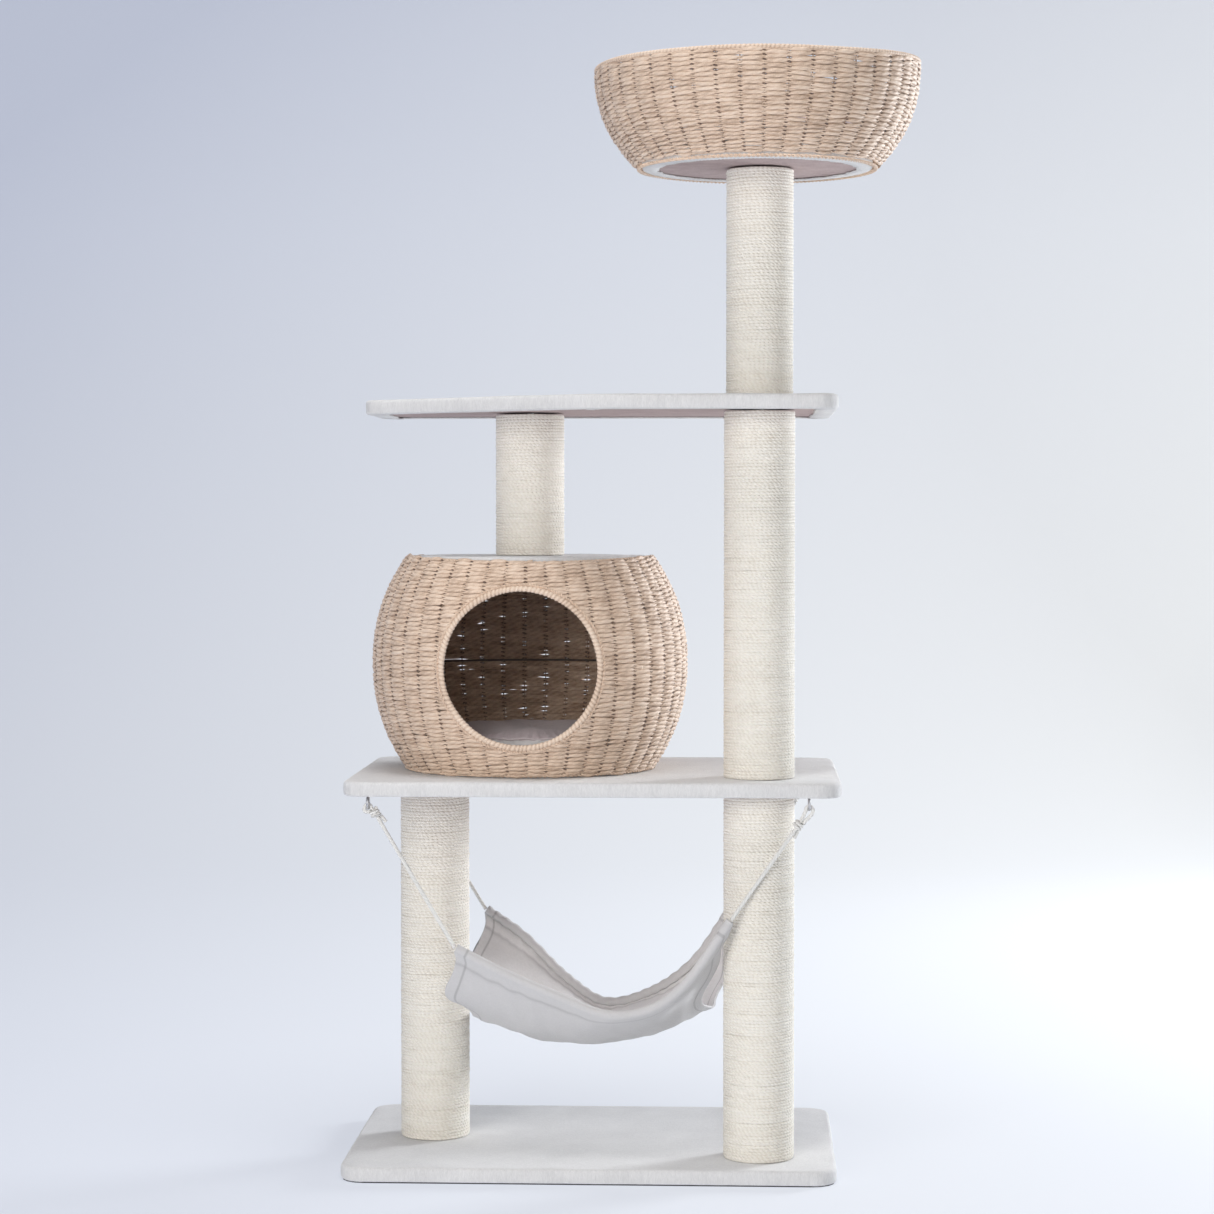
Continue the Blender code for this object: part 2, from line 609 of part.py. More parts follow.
def make_sheet(mats):
    """Thicken the middle surface evenly to both sides into one closed solid."""
    rows = hammock_rows()
    last_row, last = len(rows) - 1, len(rows[0]) - 1
    rings = []
    for i, row in enumerate(rows):
        over, under = [], []
        for k, point in enumerate(row):
            along = rows[min(last_row, i + 1)][k] - rows[max(0, i - 1)][k]
            across = row[min(last, k + 1)] - row[max(0, k - 1)]
            normal = along.cross(across).normalized()
            over.append(point + normal * SHEET / 2)
            under.append(point - normal * SHEET / 2)
        rings.append(over + list(reversed(under)))
    return skin("hammock_sheet", rings, False, mats["hammock"])


def make_hem_cord(name, hem, mats):
    """The stretch of rope that lies inside a hem."""
    path = smooth_path([Vector(p) for p in hem], SHEET_STATIONS)
    return tube(name, path, ROPE_RADIUS, mats["rope"])


def eye_positions():
    return [Vector((side * EYE_X, depth * EYE_Y, EYE_Z)) for depth in (-1, 1) for side in (-1, 1)]


def make_rope(place, eye, mats):
    """From behind the eye's lowest wire, over it, to the knot and straight down to the hem."""
    knot, hem_end, hem_next = ROPE_SPOTS[place]
    away = math.copysign(1.0, eye.x)
    points = [eye + Vector((away * ROPE_BEND, 0, -0.007)), eye + Vector((away * ROPE_BEND, 0, -0.0025))]
    for degrees in (10, 45, 90, 135, 165):
        angle = math.radians(degrees)
        points.append(eye + ROPE_BEND * Vector((away * math.cos(angle), 0, math.sin(angle))))
    end = Vector(hem_end)
    outward = (end - Vector(hem_next)).normalized()
    end = end + outward * 0.0035
    steps = 7
    for i in range(steps + 1):
        points.append(knot.lerp(end, i / steps))
    return tube("rope_" + place, points, ROPE_RADIUS, mats["rope"])


def make_eye_screw(place, eye, mats):
    """A wire eye: the shank goes up into the board and the ring is open by its end."""
    centre = eye + Vector((0, 0, EYE_RADIUS))
    points = [Vector((eye.x, eye.y, MIDDLE_BOTTOM + EYE_SCREW)), centre + Vector((0, 0, EYE_RADIUS + 0.0015))]
    first, last, steps = 62, -235, 11
    for i in range(steps + 1):
        angle = math.radians(first + (last - first) * i / steps)
        points.append(centre + EYE_RADIUS * Vector((0, math.cos(angle), math.sin(angle))))
    tube("eye_screw_" + place, points, EYE_WIRE, mats["zinc"])


def hang_on(name, position, pieces):
    """Give moving pieces a parent empty on their joint's axis, without moving them."""
    axis = bpy.data.objects.new(name, None)
    axis.location = position
    bpy.context.scene.collection.objects.link(axis)
    for piece in pieces:
        piece.parent = axis
        piece.location = -position


def make_hammock(mats):
    ropes = {"front": [], "rear": []}
    for place, eye in zip(("front_left", "front_right", "rear_left", "rear_right"), eye_positions()):
        make_eye_screw(place, eye, mats)
        ropes[place.split("_")[0]].append(make_rope(place, eye, mats))
    hang_on("front_ropes_axis", Vector((0, -EYE_Y, SWING_Z)), ropes["front"])
    hang_on("rear_ropes_axis", Vector((0, EYE_Y, SWING_Z)), ropes["rear"])
    pieces = [make_sheet(mats), make_hem_cord("hem_cord_front", FRONT_HEM, mats),
              make_hem_cord("hem_cord_rear", REAR_HEM, mats)]
    hang_on("hammock_axis", Vector((0, -EYE_Y, LEVEL_Z)), pieces)


def main():
    clear_scene()
    mats = make_materials()
    make_boards(mats)
    make_posts(mats)
    make_fasteners(mats)
    make_cave(mats)
    make_bowl(mats)
    make_hammock(mats)


main()
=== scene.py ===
"""Looks of the cat tree: plush boards, sisal posts, a woven cave and bowl, and a hammock.

Metres, +Z up, the front faces -Y. Places come from the CAD frame or repeat the CAD's own sizes.
"""
import math

import bpy
import numpy as np
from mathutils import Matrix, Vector


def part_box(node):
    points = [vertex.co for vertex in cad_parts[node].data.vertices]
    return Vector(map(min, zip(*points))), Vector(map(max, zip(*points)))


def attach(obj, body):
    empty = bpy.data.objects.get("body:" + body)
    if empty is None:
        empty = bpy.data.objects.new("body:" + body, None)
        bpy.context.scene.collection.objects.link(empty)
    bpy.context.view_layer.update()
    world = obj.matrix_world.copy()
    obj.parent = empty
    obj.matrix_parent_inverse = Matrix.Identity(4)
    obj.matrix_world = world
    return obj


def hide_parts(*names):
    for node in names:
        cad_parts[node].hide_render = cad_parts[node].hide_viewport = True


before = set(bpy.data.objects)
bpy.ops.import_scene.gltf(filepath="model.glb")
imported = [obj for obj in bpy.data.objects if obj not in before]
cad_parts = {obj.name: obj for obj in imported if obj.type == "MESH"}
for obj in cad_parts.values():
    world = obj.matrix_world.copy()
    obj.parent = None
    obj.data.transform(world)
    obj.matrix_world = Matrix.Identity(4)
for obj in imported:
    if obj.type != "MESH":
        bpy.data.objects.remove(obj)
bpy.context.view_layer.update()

TAU = 2 * math.pi
REARWARDS = np.array([0.0, 1.0, 0.0])

# -------- sizes, as the CAD has them, and the finer ones that the looks add
COVER = 0.0017          # thickness of a board's plush skin
FOLD = 0.0015           # thickness of the margin folded under a board
FOLD_WIDTH = 0.025
BOWL_FOLD_WIDTH = 0.019
CORNER_RADIUS = 0.030
PLEAT_PITCH = 0.0052
SISAL_PITCH = 0.0038    # from one turn of rope to the next
SISAL_RADIUS = 0.00212
SISAL_PLY = 0.0056      # length of rope in one turn of its ply
SISAL_STEPS = 110       # points in one turn round the post
SISAL_LONG = 60         # a wrap of more turns is made as two pieces
SISAL_AROUND = np.radians([-105, -75, -45, -15, 15, 45, 75, 105, 180])  # fine outside, coarse behind
WALL = 0.0050           # thickness of the woven walls
STAKES = 43
STAKE_RADIUS = 0.0009
STRAND_SIDES = 8
WHIP_PITCH = 0.0050     # from one turn of a rim's binding to the next
RING_STEPS = 1300       # points in the circle of a braid
CAVE_END_RADIUS = 0.1560
CAVE_BULGE = 0.0430
CAVE_ROUNDNESS = 2.2
CAVE_LOW, CAVE_HIGH = 0.4846, 0.7535
CAVE_WEAVE_TOP = 0.7530
CAVE_DIP_FROM = 0.655   # above this height the weave sinks at the front and the rear
CAVE_DIP_FRONT = 0.0055
CAVE_DIP_REAR = 0.0035
CAVE_PITCH = 0.00280    # from one row of weave to the next
BOWL_PITCH = 0.00268
BOWL_LIFT = 0.0080      # the bowl's rim rises at its right end
BOWL_LOOSE_BELOW = 1.282
ENTRANCE_Z = 0.6190
ENTRANCE_RADIUS = 0.0965
RIM_RADIUS = 0.0036
BOWL_LOW, BOWL_HIGH = 1.2229, 1.3450
BOWL_LOW_RADIUS = 0.1445
BOWL_FLARE = 0.0530
BOWL_ROUNDNESS = 2.4
BOWL_RIM_RADIUS = 0.0040
ROPE_RADIUS = 0.0025
EYE_WIRE = 0.0016
EYE_RADIUS = 0.0070
THREAD_LENGTH = 0.016
THREAD_PITCH = 0.0013
HEM_RADIUS = 0.0046
ROPE_GAP = 0.0014       # from a hanging rope's end to the end of the cord in the hem
SHEET = 0.0024          # thickness of the hammock's double cloth

# The cords inside the hems, from left to right
FRONT_HEM = [(-0.160, -0.163, 0.2800), (-0.100, -0.161, 0.2490), (-0.030, -0.159, 0.2190),
             (0.022, -0.158, 0.2000), (0.075, -0.159, 0.2075), (0.120, -0.161, 0.2410),
             (0.172, -0.163, 0.3150)]
REAR_HEM = [(-0.150, 0.163, 0.2840), (-0.100, 0.161, 0.2490), (-0.045, 0.159, 0.1960),
            (0.008, 0.158, 0.1640), (0.070, 0.159, 0.1790), (0.125, 0.161, 0.2190),
            (0.172, 0.163, 0.2860)]
# How far the sheet's ends reach along X, by share of the way from the front hem to the rear
LEFT_END = [(0.0, -0.160), (0.17, -0.180), (0.34, -0.153), (0.66, -0.153), (0.83, -0.166), (1.0, -0.150)]
RIGHT_END = [(0.0, 0.172), (0.08, 0.160), (0.30, 0.136), (0.60, 0.152), (0.85, 0.172), (1.0, 0.171)]
# How far the sheet's middle hangs below its hems, at even steps from left to right
SAGS = [0.104, 0.086, 0.051, 0.035, 0.058, 0.113]
END_BAND = 0.014        # width of the hem sewn along each end of the hammock
CHANNEL_BAND = 0.012    # width of the rope channel along its front and rear
STITCH_WIDTH = 0.0011
CURL_STEPS = 13         # points round each hem
SHEET_LENGTH, SHEET_DEPTH = 0.40, 0.32  # along its hems, and from hem to hem
ROPE_LAY = 0.0062       # length of rope in one turn of its strands


def centre_of(node):
    low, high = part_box(node)
    return (low + high) / 2


CAVE = centre_of("cave_floor_cover")
BOWL = centre_of("bowl_floor_cover")
HOOP_Z = centre_of("cave_hoop").z


# -------- materials
def material(name, roughness, metallic=0.0, sheen=0.0, specular=0.3):
    mat = bpy.data.materials.new(name)
    mat.use_nodes = True
    shader = mat.node_tree.nodes["Principled BSDF"]
    shader.inputs["Roughness"].default_value = roughness
    shader.inputs["Metallic"].default_value = metallic
    shader.inputs["Sheen Weight"].default_value = sheen
    shader.inputs["Sheen Roughness"].default_value = 0.6
    shader.inputs["Specular IOR Level"].default_value = specular
    return mat, mat.node_tree, shader


def node(tree, kind, values=(), **settings):
    made = tree.nodes.new(kind)
    for key, value in settings.items():
        setattr(made, key, value)
    for key, value in dict(values).items():
        made.inputs[key].default_value = value
    return made


def coordinates(tree, stretch=(1, 1, 1)):
    """Position on the object, scaled along each axis."""
    where = node(tree, "ShaderNodeTexCoord")
    mapping = node(tree, "ShaderNodeMapping", {"Scale": stretch})
    tree.links.new(where.outputs["Object"], mapping.inputs["Vector"])
    return mapping.outputs["Vector"]


def noise(tree, vector, scale, detail=3.0, roughness=0.6):
    made = node(tree, "ShaderNodeTexNoise", {"Scale": scale, "Detail": detail, "Roughness": roughness})
    tree.links.new(vector, made.inputs["Vector"])
    return made.outputs["Fac"]


def math_node(tree, operation, first, second):
    """A sum, product or sine, where each input is a number or another node's output."""
    made = node(tree, "ShaderNodeMath", operation=operation)
    for socket, value in zip(made.inputs, (first, second)):
        if isinstance(value, (int, float)):
            socket.default_value = value
        else:
            tree.links.new(value, socket)
    return made.outputs["Value"]


def ramp(tree, factor, stops):
    made = node(tree, "ShaderNodeValToRGB")
    steps = made.color_ramp.elements
    while len(steps) < len(stops):
        steps.new(0.5)
    for step, (place, colour) in zip(steps, stops):
        step.position = place
        step.color = (*colour, 1.0)
    tree.links.new(factor, made.inputs["Fac"])
    return made.outputs["Color"]


def bump(tree, shader, height, distance, strength=1.0):
    made = node(tree, "ShaderNodeBump", {"Strength": strength, "Distance": distance})
    tree.links.new(height, made.inputs["Height"])
    tree.links.new(made.outputs["Normal"], shader.inputs["Normal"])


def blend(tree, parts):
    """Weighted sum of values, each given as (value, weight)."""
    total = 0.0
    for value, weight in parts:
        total = math_node(tree, "ADD", total, math_node(tree, "MULTIPLY", value, weight))
    return total


def attribute(tree, name):
    """A value stored on the mesh's points."""
    return node(tree, "ShaderNodeAttribute", attribute_name=name).outputs["Fac"]


# A colour mix node's sockets share their names with those for numbers, so they go by place
COLOUR_A, COLOUR_B, COLOUR_RESULT = 6, 7, 2


def plush_material(name, dark, light, nap=(1, 1, 1), sheen=0.35, depth=0.0006, toned=None):
    """Short pile: a fine grain, brushed patches and a velvety edge, with a second colour at tone 0."""
    mat, tree, shader = material(name, 0.95, sheen=sheen, specular=0.15)
    vector = coordinates(tree, nap)
    pile = noise(tree, vector, 900, 4.0, 0.7)
    tufts = noise(tree, vector, 260, 2.0)
    brushed = noise(tree, coordinates(tree), 16, 3.0)
    total = blend(tree, [(pile, 0.45), (tufts, 0.25), (brushed, 0.30)])
    colour = ramp(tree, total, [(0.30, dark), (0.68, light)])
    if toned:
        mix = node(tree, "ShaderNodeMix", data_type="RGBA")
        tree.links.new(attribute(tree, "tone"), mix.inputs["Factor"])
        mix.inputs[COLOUR_A].default_value = (*toned, 1.0)
        tree.links.new(colour, mix.inputs[COLOUR_B])
        colour = mix.outputs[COLOUR_RESULT]
    tree.links.new(colour, shader.inputs["Base Color"])
    bump(tree, shader, blend(tree, [(pile, 1.0), (tufts, 0.8)]), depth, 0.9)
    return mat


CREASE_SHADE = (0.075, 0.038, 0.030)      # painted shade in the deep gaps between strands


def strand_material(name, dark, middle, light, roughness, stretch=(1, 1, 1), grain=700, depth=0.0005,
                    specular=0.25, lay=0.045):
    """Twisted fibre: each strand has its own tone, darkened by the painted shade its tone attribute carries;
    ridges laid by its ply attribute, as bumps and as painted shade in their grooves; and fine grain.
    """
    mat, tree, shader = material(name, roughness, sheen=0.1, specular=specular)
    fine = noise(tree, coordinates(tree, stretch), grain, 3.0, 0.7)
    broad = noise(tree, coordinates(tree), 30, 2.0)
    # The ply's sine also colours the strand: lighter on its ridges, painted shade in its grooves
    twist = math_node(tree, "SINE", attribute(tree, "ply"), 0.0)
    total = blend(tree, [(fine, 0.38), (broad, 0.20), (attribute(tree, "tone"), 0.42), (twist, lay)])
    colour = ramp(tree, total, [(0.02, CREASE_SHADE), (0.24, dark), (0.50, middle), (0.80, light)])
    tree.links.new(colour, shader.inputs["Base Color"])
    bump(tree, shader, blend(tree, [(fine, 0.5), (twist, 8 * lay)]), depth, 0.9)
    return mat


def speckled_material(name, dark, light, roughness, scale, depth, stretch=(1, 1, 1), metallic=0.0):
    """A hard surface with fine specks and broad patches between two colours."""
    mat, tree, shader = material(name, roughness, metallic)
    vector = coordinates(tree, stretch)
    fine = noise(tree, vector, scale, 5.0, 0.65)
    broad = noise(tree, vector, scale / 9, 2.0)
    total = blend(tree, [(fine, 0.6), (broad, 0.4)])
    tree.links.new(ramp(tree, total, [(0.32, dark), (0.66, light)]), shader.inputs["Base Color"])
    tree.links.new(math_node(tree, "ADD", math_node(tree, "MULTIPLY", fine, 0.2), roughness - 0.1),
                   shader.inputs["Roughness"])
    bump(tree, shader, fine, depth, 0.6)
    return mat


def make_materials():
    return {
        "plush": plush_material("light_grey_plush", (0.58, 0.575, 0.575), (0.81, 0.805, 0.80), (1, 1, 0.22)),
        # The hammock's second colour, at tone 0, is painted shade for its outer underside and its seams
        "hammock": plush_material("hammock_plush", (0.76, 0.745, 0.74), (0.93, 0.915, 0.91),
                                  depth=0.0005, toned=(0.34, 0.33, 0.33)),
        "cushion": plush_material("mauve_plush", (0.46, 0.365, 0.38), (0.68, 0.57, 0.59),
                                  depth=0.0008, toned=(0.66, 0.64, 0.64)),
        "wicker": strand_material("paper_wicker", (0.42, 0.28, 0.19), (0.75, 0.58, 0.45),
                                  (0.90, 0.76, 0.63), 0.62, specular=0.5),
        "sisal": strand_material("sisal_rope", (0.72, 0.66, 0.57), (0.91, 0.87, 0.79),
                                 (0.95, 0.93, 0.88), 0.9, stretch=(1, 1, 2.5), grain=420,
                                 depth=0.0008, lay=0.055),
        "rope": strand_material("pale_cord", (0.60, 0.58, 0.54), (0.80, 0.79, 0.76), (0.92, 0.91, 0.89),
                                0.85),
        "board": speckled_material("fibreboard", (0.36, 0.27, 0.26), (0.52, 0.42, 0.41), 0.85, 420, 0.0002),
        "felt": speckled_material("dark_felt", (0.03, 0.03, 0.032), (0.08, 0.08, 0.085), 0.95, 700, 0.0004),
        "cardboard": speckled_material("wound_card", (0.36, 0.26, 0.17), (0.50, 0.38, 0.26), 0.85, 160,
                                       0.0002, stretch=(1, 1, 6)),
        "plug": speckled_material("black_plastic", (0.025, 0.025, 0.025), (0.05, 0.05, 0.05), 0.45, 350,
                                  0.0001),
        "zinc": speckled_material("zinc_plate", (0.48, 0.48, 0.50), (0.66, 0.66, 0.67), 0.35, 240,
                                  0.00005, metallic=1.0),
        "wire": speckled_material("dark_wire", (0.16, 0.14, 0.13), (0.26, 0.23, 0.21), 0.4, 300,
                                  0.00005, metallic=1.0),
    }


# -------- mesh building
def add_object(name, data):
    obj = bpy.data.objects.new(name, data)
    bpy.context.scene.collection.objects.link(obj)
    return obj


def new_mesh(name, points, quads, caps, look, body, replaced, **layers):
    """Build a shown piece from quads and end caps, give it its look, and let it ride on its body."""
    points = np.asarray(points, float).reshape(-1, 3)
    quads = np.asarray(quads, int).reshape(-1, 4)
    corners = np.concatenate([quads.ravel(), *[np.asarray(cap, int) for cap in caps]]).astype(np.int32)
    sizes = np.concatenate([np.full(len(quads), 4), [len(cap) for cap in caps]]).astype(np.int32)
    starts = np.concatenate([[0], np.cumsum(sizes)[:-1]]).astype(np.int32)
    mesh = bpy.data.meshes.new(name)
    mesh.vertices.add(len(points))
    mesh.vertices.foreach_set("co", points.astype(np.float32).ravel())
    mesh.loops.add(len(corners))
    mesh.loops.foreach_set("vertex_index", corners)
    mesh.polygons.add(len(sizes))
    mesh.polygons.foreach_set("loop_start", starts)
    mesh.update(calc_edges=True)
    mesh.shade_smooth()
    for key, values in layers.items():
        layer = mesh.attributes.new(key, "FLOAT", "POINT")
        layer.data.foreach_set("value", np.broadcast_to(values, len(points)).astype(np.float32))
    mesh.materials.append(MATERIALS[look])
    obj = add_object(name, mesh)
    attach(obj, body)
    if replaced:
        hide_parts(*replaced)
    return obj


def tube_quads(rings, sides, start=0, closed=False):
    """Faces of a tube whose points are stored ring by ring."""
    i = np.arange(rings if closed else rings - 1)[:, None]
    k = np.arange(sides)[None, :]
    j, m = (i + 1) % rings, (k + 1) % sides
    quads = np.stack([i * sides + k, i * sides + m, j * sides + m, j * sides + k], -1)
    return quads.reshape(-1, 4) + start


def swept(line, side, up, section):
    """Points of a tube: section offsets (rings, sides, 2) along the unit vectors side and up."""
    section = np.broadcast_to(section, (len(line), *np.shape(section)[-2:]))
    return (line[:, None] + section[..., :1] * side[:, None] + section[..., 1:] * up[:, None]).reshape(-1, 3)


def turns_of(count):
    """Evenly spaced angles round a circle."""
    return np.arange(count) * TAU / count


def ring_section(radius, angle):
    """Section offsets at the given angles; the radius is one value or one for each point."""
    return np.stack([radius * np.cos(angle), radius * np.sin(angle)], -1)


def round_section(radius, sides):
    return ring_section(radius, turns_of(sides))


def travelled(line):
    """Distance along a path at each of its points."""
    return np.concatenate([[0], np.cumsum(np.linalg.norm(np.diff(line, axis=0), axis=1))])


def ring_stack(name, look, body, replaced, rings, **layers):
    """A closed piece whose skin runs through a stack of rings with as many points each."""
    count = len(rings[0])
    caps = [np.arange(count)[::-1], (len(rings) - 1) * count + np.arange(count)]
    return new_mesh(name, rings, tube_quads(len(rings), count), caps, look, body, replaced, **layers)


class Bundle:
    """Many tubes gathered into one mesh."""

    def __init__(self):
        self.points, self.quads, self.caps = [], [], []
        self.tones, self.plies = [], []
        self.size = 0

    def add(self, points, rings, sides, tone=0.5, ply=0.0, closed=False):
        self.points.append(points)
        self.quads.append(tube_quads(rings, sides, self.size, closed))
        if not closed:
            self.caps.append(self.size + np.arange(sides)[::-1])
            self.caps.append(self.size + (rings - 1) * sides + np.arange(sides))
        self.tones.append(np.broadcast_to(tone, (rings, sides)).ravel())
        self.plies.append(np.broadcast_to(ply, (rings, sides)).ravel())
        self.size += len(points)

    def mesh(self, name, look, body, replaced):
        return new_mesh(name, np.concatenate(self.points), np.concatenate(self.quads), self.caps, look,
                        body, replaced, tone=np.concatenate(self.tones), ply=np.concatenate(self.plies))


def one_tube(name, look, body, replaced, points, rings, sides, *tone_and_ply, closed=False):
    """A shown piece that is a single tube."""
    bundle = Bundle()
    bundle.add(points, rings, sides, *tone_and_ply, closed=closed)
    return bundle.mesh(name, look, body, replaced)


def unit(vectors):
    return vectors / np.maximum(np.linalg.norm(vectors, axis=-1, keepdims=True), 1e-12)


def smooth_path(points, count):
    """Points of a Catmull-Rom curve through the given ones, with as many steps in each stretch."""
    p = np.asarray(points, float)
    knots = np.vstack([2 * p[0] - p[1], p, 2 * p[-1] - p[-2]])
    t = np.linspace(0, len(p) - 1, count)
    k = np.minimum(t.astype(int), len(p) - 2)
    u = (t - k)[:, None]
    a, b, c, d = knots[k], knots[k + 1], knots[k + 2], knots[k + 3]
    square, cube = 2 * a - 5 * b + 4 * c - d, 3 * b - a - 3 * c + d
    return 0.5 * (2 * b + (c - a) * u + square * u ** 2 + cube * u ** 3)


def even_path(points, spacing):
    """The same curve with points a fixed distance apart."""
    fine = smooth_path(points, 40 * len(points))
    run = travelled(fine)
    count = max(3, int(run[-1] / spacing) + 1)
    at = np.linspace(0, run[-1], count)
    return np.stack([np.interp(at, run, fine[:, axis]) for axis in range(3)], -1)


def path_frames(line, closed=False):
    """Unit side and up vectors along a path, turned as little as possible from point to point."""
    if closed:
        along = unit(np.roll(line, -1, 0) - np.roll(line, 1, 0))
    else:
        along = unit(np.gradient(line, axis=0))
    start = np.array([0.0, 0.0, 1.0]) if abs(along[0][2]) < 0.8 else np.array([0.0, 1.0, 0.0])
    side = [unit(start - along[0] * start.dot(along[0]))]
    for direction in along[1:]:
        last = side[-1]
        side.append(unit(last - direction * last.dot(direction)))
    side = np.array(side)
    return side, np.cross(along, side)


def ripple(x, y, seed, wavelength):
    """Smooth, repeatable unevenness, mostly between -1.5 and 1.5."""
    rng = np.random.default_rng(seed)
    count = 9
    total = 0.0
    for _ in range(count):
        angle, phase, scale = rng.uniform(0, TAU), rng.uniform(0, TAU), rng.uniform(0.6, 1.6)
        wave = TAU / (wavelength * scale)
        total = total + np.sin(wave * (x * math.cos(angle) + y * math.sin(angle)) + phase)
    return total / math.sqrt(count)


def bell(value, place, width):
    """One at a place, and almost nothing two widths away from it."""
    return np.exp(-((value - place) / width) ** 2)


# -------- sisal posts
def sisal_wrap(place):
    """One long twisted rope wound round the post, turn beside turn, with a flat turn at each end."""
    low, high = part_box("sisal_" + place)
    centre = (low + high) / 2
    outer = (high.x - low.x) / 2
    first, last = low.z + SISAL_RADIUS, high.z - SISAL_RADIUS
    turns = (last - first) / SISAL_PITCH + 2
    seed = int(100 * low.z)
    t = np.linspace(0, turns, int(turns * SISAL_STEPS) + 1)
    angle = TAU * t + 5 * centre.x
    z = first + SISAL_PITCH * (t - 1) + 0.00016 * ripple(t, 0, seed + 9, 0.9)
    pressed = (t < 1) | (t > turns - 1)
    radius = outer - SISAL_RADIUS + 0.00016 * ripple(t, 0, seed + 3, 1.7) - 0.0003 * pressed
    out = np.stack([np.cos(angle), np.sin(angle), np.zeros_like(t)], -1)
    up = np.broadcast_to([0.0, 0.0, 1.0], out.shape)
    line = np.stack([centre.x + radius * out[:, 0], centre.y + radius * out[:, 1],
                     np.clip(z, first, last)], -1)
    thick = SISAL_RADIUS * (1 + 0.04 * ripple(t, 0, seed + 5, 0.12))[:, None]
    section = np.stack([thick * np.sin(SISAL_AROUND), thick * np.cos(SISAL_AROUND)], -1)
    twist = TAU * t * outer * TAU / SISAL_PLY + 2.2 * ripple(t, 0, seed + 7, 0.3)
    ply = twist[:, None] + 2.4 * SISAL_AROUND
    tone = 0.55 + 0.07 * ripple(t, 0, seed + 11, 0.06) + 0.06 * ripple(t, 0, seed + 13, 6.0)
    pieces = 2 if turns > SISAL_LONG else 1
    for part in range(pieces):
        start = part * (len(t) // pieces)
        stop = len(t) if part == pieces - 1 else (part + 1) * (len(t) // pieces) + 1
        points = swept(line[start:stop], up[start:stop], out[start:stop], section[start:stop])
        one_tube(f"sisal_rope_{place}_{part + 1}", "sisal", "tree", ["sisal_" + place], points,
                 stop - start, len(SISAL_AROUND), tone[start:stop, None], ply[start:stop])


# -------- woven walls
class WovenWall:
    """The middle surface of a woven wall, by distance along its profile and angle."""

    def __init__(self, centre, radius_at, z_low, z_high, warp):
        self.centre = centre
        self.warp = warp
        self.z = np.linspace(z_low, z_high, 500)
        self.r = radius_at(self.z) - WALL / 2
        self.run = travelled(np.stack([self.r, self.z], -1))
        slope = unit(np.stack([np.gradient(self.r), np.gradient(self.z)], -1))
        self.slope_r, self.slope_z = slope[:, 0], slope[:, 1]

    def at(self, run, angle, lift=0.0):
        """Points lifted off the surface, with its upward and outward unit vectors there."""
        r, z = np.interp(run, self.run, self.r), np.interp(run, self.run, self.z)
        slope_r, slope_z = np.interp(run, self.run, self.slope_r), np.interp(run, self.run, self.slope_z)
        cos, sin = np.cos(angle), np.sin(angle)
        up = np.stack([slope_r * cos, slope_r * sin, slope_z], -1)
        out = np.stack([slope_z * cos, slope_z * sin, -slope_r], -1)
        point = np.stack([self.centre.x + r * cos, self.centre.y + r * sin, z + self.warp(z, angle)], -1)
        return point + out * np.expand_dims(lift, -1), up, out


def cave_dip(z, angle):
    """The cave's top rows sink a little at the front and the rear."""
    share = np.clip((z - CAVE_DIP_FROM) / (CAVE_WEAVE_TOP - CAVE_DIP_FROM), 0, 1)
    front, rear = np.maximum(0, -np.sin(angle)), np.maximum(0, np.sin(angle))
    return -share ** 2 * (CAVE_DIP_FRONT * front ** 2 + CAVE_DIP_REAR * rear)


def bowl_lift(z, angle):
    """The bowl's top rows rise at its right end."""
    share = np.clip((z - BOWL_LOW) / (BOWL_HIGH - BOWL_LOW), 0, 1)
    return BOWL_LIFT * share ** 2 * np.maximum(0, np.cos(angle)) ** 4


def outside_hole(points):
    """Signed distance past the entrance's cut edge; positive is kept wall."""
    away = np.hypot(points[:, 0] - CAVE.x, points[:, 2] - ENTRANCE_Z) - (ENTRANCE_RADIUS + RIM_RADIUS * 0.9)
    return np.where(points[:, 1] < CAVE.y, away, 1.0)


def kept_runs(t, distance):
    """Stretches of t where distance is positive, with ends moved to where it is zero."""
    kept = distance > 0
    edges = np.flatnonzero(kept[1:] != kept[:-1])
    bounds = [0, *(edges + 1), len(t)]

    def crossing(inner, outer):
        share = distance[inner] / (distance[inner] - distance[outer])
        return [t[inner] + share * (t[outer] - t[inner])]

    for first, last in zip(bounds, bounds[1:]):
        if kept[first] and last - first > 1:
            before = crossing(first, first - 1) if first > 0 else []
            after = crossing(last - 1, last) if last < len(t) else []
            yield np.concatenate([before, t[first:last], after])


def cave_loose(angle, z, row):
    """Where the cave's back wall is woven loosely enough to let light through."""
    left = np.clip(-1.7 * np.cos(angle), 0, 1)
    streaks = left * (bell(z, HOOP_Z + 0.001, 0.005) + 0.8 * bell(z, HOOP_Z - 0.010, 0.0025))
    streaks = streaks + 0.6 * bell(z, HOOP_Z - 0.034, 0.003)
    specks = np.clip(ripple(angle * 7, np.floor(row / 2) * 7.0, 77, 1.8) - 1.15, 0, 0.4) * 2.5
    alive = np.clip(0.6 + 0.6 * ripple(angle * 5, row * 5.0, 79, 2.2), 0, 1)
    return (0.80 * streaks * alive + 0.62 * specks) * (np.sin(angle) > 0.25)


def bowl_loose(angle, z, row):
    """Rows stand a little apart in the bowl's lower half."""
    gap = np.clip(0.5 + 0.5 * ripple(angle * 6, row * 7.0, 78, 2.0), 0, 1)
    return 0.24 * gap * np.clip((BOWL_LOOSE_BELOW - z) / 0.03, 0, 1)


